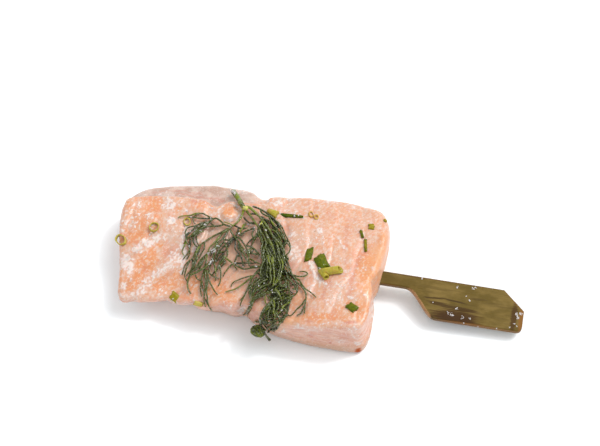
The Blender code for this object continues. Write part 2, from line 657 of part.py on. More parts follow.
def bundle_core(name, tree, route):
    """A low mat under a part of the bundle, thickest along its middle."""
    line = spline(route, 2)
    rings = []
    for i, (x, y, half) in enumerate(line):
        ahead = line[min(i + 1, len(line) - 1)] - line[max(i - 1, 0)]
        side = np.array((ahead[1], -ahead[0]))
        side /= np.linalg.norm(side)
        upper, lower = [], []
        for k in range(CORE_COLUMNS):
            c = 2 * k / (CORE_COLUMNS - 1) - 1
            spot = np.array((x, y)) + side * c * half * CORE_SHARE * (1.0 + 0.1 * math.sin(1.9 * i))
            base = highest_near(tree, *spot, 0.7) + GAP + 0.15
            lower.append((*spot, base))
            upper.append((*spot, base + bundle_rise(c, half) * (1.0 + 0.18 * math.sin(2.3 * i + 1.7 * k))))
        rings.append(lower + upper[::-1])
    core = mesh_object(name, *loft(rings))
    face_out(core)
    return core


def bundle_threads(rng, tree, name, route, count):
    """Threads that come out of the mat and run over it or off its sides."""
    line = spline(route, 6)
    made = []
    for i in range(count):
        span = rng.randint(9, 15)
        first = int((i + rng.random()) / count * (len(line) - span - 1))
        offset, end = rng.uniform(-0.5, 0.5), rng.choice((-1, 1)) * rng.uniform(0.3, 1.3)
        path, lift = [], []
        for t in np.linspace(0.0, 1.0, 5):
            x, y, half = line[first + int(t * span)]
            ahead = line[first + int(t * span) + 1] - line[first + int(t * span)]
            side = np.array((ahead[1], -ahead[0])) / np.linalg.norm(ahead[:2])
            across = offset + (end - offset) * t**1.6
            path.append(np.array((x, y)) + side * half * CORE_SHARE * across)
            over = bundle_rise(min(1.0, abs(across)), half) - BUNDLE_EDGE
            lift.append(over * min(1.0, 0.3 + 3.5 * t) + 0.45 * min(1.0, 4.0 * t))
        path = laid(tree, path, THREAD_RADIUS, lift)
        made.append(tube(f"{name}_{i}", path, THREAD_RADIUS, THREAD_TIP_RADIUS))
    return made


def tail_pieces(tree, name, radii, route):
    """One end of the bundle, hanging down in front of the fish, with threads round it."""
    line = clear_of(tree, spline(route, 2), max(radii))
    made = [tube(name, line, *radii, sides=6)]
    for i in range(TAIL_THREADS):
        turn = 2 * math.pi * (i + 0.3) / TAIL_THREADS
        outward = np.array((math.cos(turn), 0.5 * math.sin(turn) - 0.6, 0.0))
        start = line[2 + i % 3]
        path = [start + outward * out + np.array((0.0, 0.0, -down)) for out, down in TAIL_THREAD_FALL]
        path = clear_of(tree, [p for p in path if p[2] > 1.0], THREAD_RADIUS)
        made.append(tube(f"{name}_{i}", path, THREAD_RADIUS, THREAD_TIP_RADIUS))
    return made


def dill(made_of, fish):
    """The sprig as one solid: a low core, the stem, its branches and the threads that show."""
    rng = random.Random(SEED)
    tree = tree_of(fish)
    sprig = bundle_core("dill", tree, BUNDLE)
    stem = laid(tree, STEM, STEM_RADIUS, [0.3, 0.4, 0.4])
    pieces = [tube("stem", stem, STEM_RADIUS, STEM_RADIUS * 0.95, sides=7)]
    pieces.append(bundle_core("fork", tree, LEFT_FORK))
    for name, flat in BRANCHES.items():
        path = laid(tree, spline(flat, 2), BRANCH_RADIUS[0], 0.1)
        pieces.append(tube(name, path, *BRANCH_RADIUS, sides=5))
    for name, (count, reach) in THREADS.items():
        pieces += branch_threads(rng, tree, name, BRANCHES[name], count, reach)
    pieces += bundle_threads(rng, tree, "bundle", BUNDLE, BUNDLE_THREADS)
    pieces += bundle_threads(rng, tree, "fork", LEFT_FORK, FORK_THREADS)
    for name, (radii, route) in TAILS.items():
        pieces += tail_pieces(tree, name, radii, route)
    join_with(sprig, pieces)
    keep_largest(sprig)
    sprig.data.materials.clear()
    sprig.data.materials.append(made_of)
    return sprig


def main():
    for obj in list(bpy.data.objects):
        bpy.data.objects.remove(obj)
    flesh = material("cooked_salmon", (0.86, 0.52, 0.36), 0.42)
    bamboo = material("bamboo", (0.27, 0.2, 0.085), 0.6)
    leaf = material("dill_leaf", (0.05, 0.12, 0.035), 0.45)
    fish = salmon(flesh)
    skewer_object(bamboo)
    dill(leaf, fish)


main()
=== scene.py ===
"""Looks of the cooked salmon skewer: flesh, bamboo, chives, dill and flecks over its solids.

Sizes are in millimetres and are scaled to metres when a mesh is made. The fish lies on z = 0 with its
skewer along X, the handle at +X.
"""
import math
import random

import bmesh
import bpy
import numpy as np
from mathutils import Matrix, Vector
from mathutils.bvhtree import BVHTree

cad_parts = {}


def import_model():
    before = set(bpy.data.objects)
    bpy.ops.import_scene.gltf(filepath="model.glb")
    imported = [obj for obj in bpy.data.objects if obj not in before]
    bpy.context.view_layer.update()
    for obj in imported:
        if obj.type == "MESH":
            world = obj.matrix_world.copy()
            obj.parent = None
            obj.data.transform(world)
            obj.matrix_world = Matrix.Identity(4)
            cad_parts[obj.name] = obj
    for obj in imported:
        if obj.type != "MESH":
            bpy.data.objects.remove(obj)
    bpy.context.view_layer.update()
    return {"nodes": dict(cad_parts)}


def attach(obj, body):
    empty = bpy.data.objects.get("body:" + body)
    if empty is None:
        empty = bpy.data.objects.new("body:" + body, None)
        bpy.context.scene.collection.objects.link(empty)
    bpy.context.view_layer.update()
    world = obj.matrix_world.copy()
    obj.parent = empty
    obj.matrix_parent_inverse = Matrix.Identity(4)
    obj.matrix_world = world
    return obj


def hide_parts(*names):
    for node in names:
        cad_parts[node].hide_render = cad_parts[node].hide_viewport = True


MM = 0.001

# Fish: outline seen from above, counter-clockwise from the thin front left corner
OUTLINE = [
    (-31.8, -19.2), (-26.0, -18.3), (-18.5, -17.5), (-10.0, -17.9), (-3.0, -17.6), (2.6, -17.3),
    (6.4, -18.5), (11.0, -19.8), (18.0, -19.9), (25.0, -19.5), (31.8, -18.9), (35.3, -18.0),
    (36.7, -14.5), (36.9, -7.5), (37.3, -1.0), (38.2, 5.0), (38.5, 11.5), (37.3, 17.6), (34.0, 20.9),
    (25.0, 22.1), (14.0, 21.3), (4.0, 19.9), (-5.5, 21.5), (-15.0, 21.1), (-26.0, 18.5),
    (-33.8, 15.6), (-37.9, 11.2), (-38.4, 4.5), (-37.0, -3.5), (-35.2, -11.0), (-34.6, -15.6),
    (-33.9, -18.1),
]
OUTLINE_STEPS = 6
# Torn places in the edge: (x, y, depth, half width)
NOTCHES = [
    (-20.6, -17.4, 1.1, 1.6), (-13.0, -17.8, 0.8, 1.5), (-4.8, -17.8, 0.8, 2.0),
    (1.9, -17.1, 1.5, 1.7), (37.1, -3.6, 1.2, 1.8), (0.6, 20.3, 1.3, 2.4), (-30.0, -18.8, 0.4, 1.5),
]
HALF_LENGTH = 39.0
HALF_WIDTH = 20.0
THICKNESS = {"front_left": 7.5, "front_right": 14.2, "back_left": 12.2, "back_right": 13.0}
# The top is crowned: how high, out to where across it, and how much less at both ends
CROWN = 2.8
CROWN_REACH = 21.0
CROWN_END_LOSS = 0.25
FOOT_RADIUS = 1.6
WALL_BULGE = {"front_left": 0.1, "front_right": 0.1, "back_left": 0.3, "back_right": 0.4}
# The foot of the front right wall stands out as a lip: how far, and up to which share of the height
LIP = {"front_left": 0.0, "front_right": 0.6, "back_left": 0.0, "back_right": 0.0}
LIP_LEVELS = (0.14, 0.3)
WALL_DEPTH = 2.5
RIM_RADIUS = {"front_left": 1.2, "front_right": 1.0, "back_left": 1.7, "back_right": 2.4}
# The walls lean inwards to the foot, most where the thin front left edge overhangs
FOOT_INSET = {"front_left": 7.0, "front_right": -0.7, "back_left": 2.5, "back_right": 0.8}
FOOT_INSET_POWER = 1.15
WALL_LAYERS = {"depth": 0.2, "pitch": 3.0}
BLOCK_HEIGHT = 12.0
FISH_VOXEL = 0.34
FLAT_BELOW = 0.06

# Flakes: the muscle blocks meet in slanted seams, which lean most at the left and bend twice
FLAKE_PITCH = 7.2
FLAKE_PHASE = -18.9
FLAKE_LEAN = (1.0, 0.38)
FLAKE_FRONT_BEND = {"from": 1.0, "slope": 0.85}
FLAKE_BACK_BEND = {"from": 6.0, "slope": 0.32}
FLAKE_BEND_EASE = 3.0
FLAKE_STEP = 0.62
FLAKE_DROP_FROM = 0.86
FLAKE_GROOVE = 0.32
FLAKE_GROOVE_WIDTH = 0.8
# How far a seam wavers, in pitches, and how much the flakes differ in depth
FLAKE_WAVER = 0.06
FLAKE_DEPTH = 0.75
FLAKE_DEPTH_SWING = 0.35
# The flakes are flatter at the right and at the back left: how much, and from where to where
FLAKE_CALM_RIGHT = {"share": 0.65, "x": (-5.0, 20.0)}
FLAKE_CALM_BACK_LEFT = {"share": 0.75, "x": (-12.0, 0.0), "y": (3.0, 8.0)}
SWELL = 0.3
# Slow waves of the surface: (across x, across y, phase)
SWELL_WAVES = [
    (0.31, 0.12, 0.4), (-0.14, 0.37, 1.9), (0.52, -0.33, 3.1), (0.23, 0.61, 5.0), (-0.66, 0.21, 0.9),
]
KNOB = {"centre": (-7.5, 10.4), "radius": 2.9, "height": 0.8, "flat": 0.55}
# Behind this line a lower, darker layer of the fillet shows along the back edge
TERRACE_EDGE = [
    (-40.0, 9.6), (-32.0, 12.3), (-21.0, 13.5), (-15.6, 13.5), (-11.9, 12.0), (-8.5, 14.3),
    (-2.5, 14.8), (2.4, 15.6),
]
TERRACE_RIGHT_END = 1.6
TERRACE_DROP = 1.7
# Widths of the terrace's slope and of its right end, and how much flatter the flakes are on it
TERRACE_SLOPE = 1.3
TERRACE_END_EASE = 1.2
TERRACE_CALM = 0.6
# The noise repeats after this many steps
LATTICE = 48
# Fine relief of the flesh, each a noise: size, seed and layers
FIBRES = (0.9, 31, 2)
LUMPS = (3.0, 41, 3)
CRUMBS = (0.8, 71, 1)
# Along y the fibres' noise runs at this share of its pace
GRAIN_STRETCH = 0.6
# How far each raises the flesh, and how far white and pink places stand out or sink
RELIEF = {"fibres": 0.04, "lumps": 0.08, "white": 0.06, "crumbs": 0.07, "pink": 0.05}

# Colours of the flesh, each drawn as soft spots in magnified parts of the picture: the part's corner and
# its zoom, then each spot (x, y, reach along x, reach along y, strength)
FLESH_SPOTS = {
    "orange": [
        ((0, 0), 1.0, [
            (368, 272, 15, 24, 0.75), (353, 308, 12, 10, 0.85), (320, 317, 26, 5, 0.8),
            # The spot at (296, 303) darkens the flesh beside the dill bundle: painted shade.
            (139, 237, 12, 9, 0.75), (296, 303, 6, 12, 0.6)
        ]),
        ((110, 182), 10.453, [
            (330, 380, 230, 220, 0.75), (480, 230, 110, 90, 1.0), (280, 560, 170, 120, 0.8),
            (700, 290, 60, 45, 0.8), (970, 240, 120, 60, 0.65), (1240, 310, 85, 80, 0.9),
            (370, 830, 150, 130, 0.9), (290, 1010, 150, 100, 0.9), (200, 1090, 90, 60, 0.8),
            (560, 1080, 200, 120, 0.7), (440, 730, 70, 70, 0.95), (520, 660, 35, 22, 0.9),
            (230, 250, 90, 80, 0.65), (115, 680, 45, 70, 0.8), (110, 960, 45, 120, 0.6),
            (700, 1000, 120, 130, 0.6), (900, 1070, 120, 120, 0.7), (1130, 1120, 170, 150, 0.7),
            (1250, 1230, 130, 70, 0.6), (820, 1180, 130, 70, 0.55), (460, 465, 40, 30, 1.0),
            (115, 590, 30, 40, 0.9), (640, 430, 60, 120, 0.35)
        ]),
        ((245, 225), 10.116, [
            (1270, 480, 170, 280, 0.95), (1400, 180, 70, 160, 0.6), (1180, 880, 130, 120, 0.85),
            (1000, 850, 150, 60, 0.5), (560, 740, 100, 120, 0.8), (440, 965, 150, 45, 0.95),
            (700, 935, 90, 30, 0.8), (1000, 940, 250, 30, 0.65), (1140, 330, 60, 110, 0.5),
            (850, 190, 110, 130, 0.35), (1170, 1130, 60, 70, 0.5), (900, 430, 120, 60, 0.3),
            (690, 700, 60, 60, 0.35)
        ]),
    ],
    "white": [
        ((0, 0), 1.0, [
            (277, 203, 7, 4, 0.8), (291, 200, 8, 3, 0.5), (333, 200, 9, 4, 0.9), (318, 201, 7, 3, 0.5)
        ]),
        ((110, 182), 10.453, [
            (620, 230, 110, 80, 0.75), (660, 300, 70, 50, 0.65), (650, 400, 65, 50, 1.5),
            (800, 300, 34, 28, 1.0), (420, 350, 50, 45, 0.75), (300, 240, 90, 50, 0.6),
            (250, 330, 130, 90, 0.42), (210, 430, 100, 60, 0.6), (250, 500, 60, 30, 0.55),
            (300, 700, 75, 50, 0.85), (390, 640, 90, 50, 1.0), (480, 585, 110, 50, 0.75),
            (600, 570, 110, 60, 0.55), (670, 560, 110, 200, 0.42), (160, 830, 60, 110, 1.2),
            (205, 905, 55, 110, 0.95), (225, 1020, 28, 28, 0.7), (148, 1082, 36, 42, 1.0),
            (690, 810, 90, 110, 0.6), (560, 1130, 50, 55, 0.5), (530, 1190, 35, 30, 0.7),
            (960, 580, 60, 60, 0.5), (1060, 530, 120, 60, 0.5), (1370, 1340, 45, 45, 0.85),
            (1240, 1300, 110, 45, 0.4), (800, 1275, 70, 35, 0.5), (880, 1245, 24, 22, 0.85),
            (250, 1230, 120, 40, 0.4), (1080, 345, 60, 22, 0.6), (600, 130, 110, 30, 0.4),
            (330, 110, 120, 40, 0.5), (1390, 110, 60, 40, 0.5), (520, 960, 60, 40, 0.5),
            (1180, 760, 80, 60, 0.4), (950, 760, 70, 70, 0.4), (1420, 600, 50, 40, 0.45),
            (115, 500, 30, 30, 0.7), (130, 1180, 60, 40, 0.5)
        ]),
        ((245, 225), 10.116, [
            (500, 280, 70, 120, 0.75), (480, 85, 40, 36, 0.65), (760, 60, 55, 45, 0.85),
            (950, 650, 130, 150, 0.42), (870, 760, 110, 80, 0.42), (1220, 450, 16, 22, 0.8),
            (1300, 450, 26, 26, 0.85), (1210, 700, 22, 20, 0.8), (1095, 740, 42, 30, 1.0),
            (700, 600, 20, 44, 0.8), (560, 1040, 80, 28, 0.7), (400, 1075, 44, 16, 0.85),
            (1090, 1040, 70, 50, 0.6), (1130, 1195, 34, 20, 0.85), (960, 1180, 70, 30, 0.5),
            (680, 640, 60, 60, 0.4), (620, 130, 120, 90, 0.36), (990, 470, 60, 60, 0.3),
            (1295, 880, 40, 130, 0.6), (950, 990, 120, 24, 0.5), (700, 1050, 120, 40, 0.45)
        ]),
        ((285, 190), 15.68, [
            (160, 980, 110, 110, 0.5), (140, 690, 60, 55, 0.5), (270, 100, 60, 42, 0.9),
            (370, 120, 40, 30, 0.9), (445, 125, 30, 24, 0.85), (800, 120, 120, 70, 0.6),
            (1060, 250, 50, 32, 0.7), (100, 300, 160, 150, 0.42), (640, 650, 60, 60, 0.4)
        ]),
    ],
    # Tan is darker, browner flesh under the dill and along the back edge: painted shade, partly wet flesh.
    "tan": [
        ((0, 0), 1.0, [
            (173, 239, 11, 14, 0.4), (298, 246, 9, 20, 0.5), (335, 201, 9, 3, 0.5), (300, 199, 14, 3, 0.3)
        ]),
        ((110, 182), 10.453, [
            (1200, 640, 330, 260, 0.75), (1400, 900, 200, 200, 0.6), (900, 620, 120, 160, 0.45),
            (1350, 1000, 180, 120, 0.45), (1500, 620, 120, 200, 0.8), (1480, 1100, 100, 120, 0.5)
        ]),
        ((245, 225), 10.116, [
            (560, 740, 90, 120, 0.5), (450, 975, 120, 50, 0.75), (330, 1010, 80, 40, 0.6),
            (870, 520, 130, 30, 0.5), (150, 760, 120, 120, 0.35), (420, 100, 30, 160, 0.4)
        ]),
    ],
    "pink": [
        ((110, 182), 10.453, [
            (640, 740, 110, 60, 0.5), (690, 680, 60, 40, 0.4), (1250, 1290, 150, 60, 0.5),
            (1500, 1250, 60, 110, 0.6), (800, 1250, 120, 50, 0.3)
        ]),
        ((245, 225), 10.116, [
            (1060, 985, 80, 22, 1.0), (650, 975, 60, 20, 0.7), (90, 880, 60, 120, 0.6),
            (450, 420, 60, 90, 0.5), (860, 600, 30, 60, 0.6), (560, 600, 90, 60, 0.45),
            (660, 1115, 30, 18, 0.9), (540, 1060, 60, 20, 0.6), (860, 1192, 18, 13, 1.4),
            (420, 30, 40, 60, 0.5), (1000, 1130, 90, 40, 0.5), (800, 1090, 120, 30, 0.4)
        ]),
    ],
    "amber": [
        ((0, 0), 1.0, [
            (385, 240, 7, 10, 0.5), (381, 252, 10, 12, 0.8), (377, 264, 12, 12, 0.85),
            # The spots at (290, 319) and (283, 325) darken the flesh beside the bundle's foot: painted
            # shade.
            (374, 276, 12, 12, 0.85), (371, 288, 10, 10, 0.7), (362, 303, 9, 8, 0.4), (290, 319, 12, 5, 0.6),
            (283, 325, 8, 6, 0.6)
        ]),
    ],
    "rust": [
        ((0, 0), 1.0, [
            (359.0, 351.2, 4.0, 3.4, 1.0)
        ]),
    ],
    "speck": [
        ((300, 200), 10.0, [
            (587, 1095, 5, 4, 0.9), (140, 313, 5, 4, 0.8), (67, 179, 4, 4, 0.8)
        ]),
    ],
}
# The same for lines: each line's half width, strength and path
FLESH_LINES = {
    "white": [
        ((110, 182), 10.453, [
            (48, 0.7, (640, 850), (500, 950), (420, 1020), (350, 1100), (290, 1170), (200, 1195)),
            (26, 0.95, (800, 470), (765, 590), (740, 680), (790, 740), (770, 820), (760, 950)),
            (20, 0.85, (865, 480), (880, 600), (900, 650), (870, 740)),
            (14, 0.9, (1280, 225), (1340, 280), (1345, 350), (1310, 400), (1240, 412)),
            (12, 0.7, (1180, 250), (1145, 300), (1150, 360)),
            (12, 0.6, (1000, 215), (1060, 265), (1110, 290)),
            (9, 0.7, (105, 1265), (300, 1270), (520, 1268), (620, 1250), (760, 1318), (860, 1305)),
        ]),
        ((245, 225), 10.116, [
            (17, 1.0, (655, 370), (690, 440), (710, 520), (760, 570), (810, 592)),
            (9, 0.85, (790, 120), (786, 180), (790, 235)),
            (9, 0.8, (945, 125), (985, 190), (1045, 245)),
            (9, 0.6, (955, 360), (990, 308)),
            (12, 0.8, (1050, 705), (1085, 735), (1130, 770)),
            (8, 0.6, (740, 1010), (850, 990), (900, 1000), (1000, 1010)),
            (8, 0.6, (1130, 1060), (1090, 1090), (1120, 1150)),
            (10, 0.5, (520, 250), (545, 330), (560, 380)),
        ]),
    ],
    "pink": [
        ((110, 182), 10.453, [
            (14, 0.7, (600, 760), (635, 715), (690, 740), (650, 775), (605, 750)),
            (10, 0.6, (700, 130), (900, 150), (1100, 170), (1180, 200)),
            (8, 0.5, (450, 110), (640, 95), (850, 110), (1000, 130)),
            (12, 0.7, (850, 190), (1000, 212), (1060, 262), (1110, 300)),
        ]),
        ((245, 225), 10.116, [
            (28, 0.55, (1185, 280), (1130, 380), (1090, 450), (1075, 560), (1050, 700)),
            (18, 0.5, (860, 550), (800, 650), (785, 730)),
            (22, 0.4, (1020, 10), (1025, 150), (1000, 250)),
            (14, 0.5, (520, 160), (560, 250), (570, 330)),
            (12, 0.5, (640, 420), (670, 480), (640, 560)),
            (9, 0.6, (780, 560), (850, 570), (900, 500)),
        ]),
    ],
}
# How far up the surface faces where a wall passes into the top, and how far down where relief fades
TOP_LEVELS = (0.3, 0.75)
UNDER_LEVELS = (0.5, 0.9)
# Where along the terrace its dark layer ends
STRIP_END = (-4.0, 3.0)
# How a spot and a line fade out, in shares of their reach
SPOT_FADE = (0.35, 1.3)
LINE_FADE = (0.4, 1.5)
# How finely the cover of threads is counted and how far it spreads, and the count that hides the flesh
COVER_STEP = 0.3
COVER_BLURS = 3
# At this count the flesh under the threads is painted near black: painted shade.
COVER_FULL = 4.0
# How far the drawn spots and lines are pulled about, in pixels, by noise of which size in millimetres, and
# which way the flecks lie
MARK_WANDER = 1.6
WANDER_SIZE = 1.6
WANDER_SEEDS = (51, 61)
FLECK_HEADING = math.radians(59.0)

# Where the skewer lies on the part, and how it is turned
SKEWER_AT = (0.0, 0.0, 7.0)
SKEWER_DIP = math.radians(2.0)
SKEWER_TURN = math.radians(1.8)
SKEWER_ROLL = math.radians(8.0)
# Marks on the handle: the path in millimetres on the skewer, half width, strength and colour
BAMBOO_MARKS = [
    ([(50.8, -2.7), (56.7, -2.2), (63.3, -2.8)], 0.3, 0.85, (70, 48, 8)),
    ([(63.6, -1.0), (68.1, -0.8)], 0.35, 0.65, (90, 70, 24)),
    ([(52.9, -3.8), (58.4, -4.4), (65.8, -4.7)], 0.65, 0.85, (72, 48, 8)),
    ([(54.5, -6.9), (66.6, -6.6)], 1.9, 0.9, (72, 44, 4)),
    ([(53.8, -7.8), (66.0, -8.0)], 1.5, 0.9, (70, 42, 4)),
    ([(76.9, -0.8), (76.8, -8.8)], 0.9, 0.9, (80, 52, 6)),
    ([(79.0, -1.5), (79.0, -8.8)], 0.8, 0.75, (150, 98, 40)),
    ([(38.0, 3.2), (73.3, 3.2)], 0.35, 0.85, (112, 72, 14)),
    ([(73.3, 3.2), (80.0, -2.6)], 0.45, 0.8, (132, 86, 26)),
    ([(55.0, -8.6), (80.0, -8.6)], 0.4, 0.8, (146, 100, 48)),
    ([(38.0, -0.6), (45.7, -0.8)], 0.4, 0.7, (124, 82, 24)),
    ([(45.7, -0.9), (47.6, -1.6), (49.6, -3.7), (51.7, -6.3), (53.7, -8.6)], 0.45, 0.85, (196, 146, 100)),
]
# Each stretch of a mark is an ellipse this much longer than the stretch
MARK_OVERLAP = 1.25
MARK_DEPTH = 1000.0

# Chives: rings and short cut tubes (x, y, heading in degrees, tilt in degrees, outer radius, length, how
# oval, slant of the cut ends, tone)
CHIVE_TUBES = [
    (-36.4, -2.1, 54, 78, 1.5, 1.1, 1.22, 0.0, 0.8), (-27.9, 2.8, 45, 74, 1.5, 1.1, 0.9, 0.0, 0.78),
    (-18.9, 5.9, 10, 80, 1.05, 0.9, 1.2, 0.0, 0.84), (24.8, -3.2, 15, 3, 1.08, 4.6, 1.0, 0.6, 0.7),
    (22.6, -4.4, -45, 5, 0.92, 3.0, 1.0, 0.3, 0.66), (15.3, 14.6, 10, 80, 0.85, 0.7, 1.2, 0.0, 1.0),
    (17.0, 14.0, 10, 80, 0.68, 0.7, 1.35, 0.0, 1.0),
]
# Flat cut pieces of leaf (x, y, heading in degrees, length, width, bow, skew, width at the far end, tone)
CHIVE_STRIPS = [
    (17.3, 1.2, 92, 4.1, 1.95, 0.25, -0.48, 1.95, 0.2), (21.3, -0.8, 123, 4.4, 3.4, 0.9, -0.17, 3.3, 0.2),
    (-18.0, -15.8, -32, 2.5, 2.4, 0.3, -0.12, 2.4, 0.48),
    (-10.9, -17.0, -11, 2.35, 1.4, 0.2, 0.2, 1.4, 0.88), (32.1, -12.7, -28, 2.8, 2.2, 0.5, 0.25, 2.2, 0.22),
    (33.0, 13.6, 11, 1.55, 1.8, 0.2, 0.0, 1.8, 0.48), (36.3, 17.0, 11, 0.9, 0.8, 0.1, 0.1, 0.7, 0.5),
    (30.7, 10.6, -66, 2.3, 0.8, 0.3, 0.1, 0.8, 0.24), (32.4, 7.2, -79, 4.0, 0.85, 0.4, 0.0, 0.8, 0.36),
    (9.6, 13.0, 1, 7.3, 1.4, 0.3, 0.2, 0.6, 0.1), (4.5, 12.8, -20, 3.2, 1.5, 0.4, 0.0, 2.4, 0.7),
]
CHIVE_WALL = 0.32
CHIVE_MIN_BORE = 0.3
CHIVE_LIP = 0.12
CHIVE_SIDES = 28
CHIVE_SINK = 0.3
CHIVE_THICKNESS = 0.45
CHIVE_FOOT = 0.6
# A tube: how uneven it is round its middle, and at its cut ends
TUBE_WOBBLE = (0.05, 0.03)
TUBE_RAGGED = 0.1
# A strip: points across it and along it, how torn its ends are, how its width varies, and its ribs
STRIP_COLUMNS = 17
STRIP_ROWS = 9
STRIP_TORN = (0.12, 0.07)
STRIP_WAVER = 0.05
STRIP_RIB = 0.05
# Colours of the chives by tone
CHIVE_TONES = [
    (0.0, (54, 84, 12)), (0.2, (98, 110, 0)), (0.45, (158, 142, 16)), (0.7, (188, 176, 66)),
    (0.88, (212, 196, 104)), (1.0, (224, 178, 94)),
]
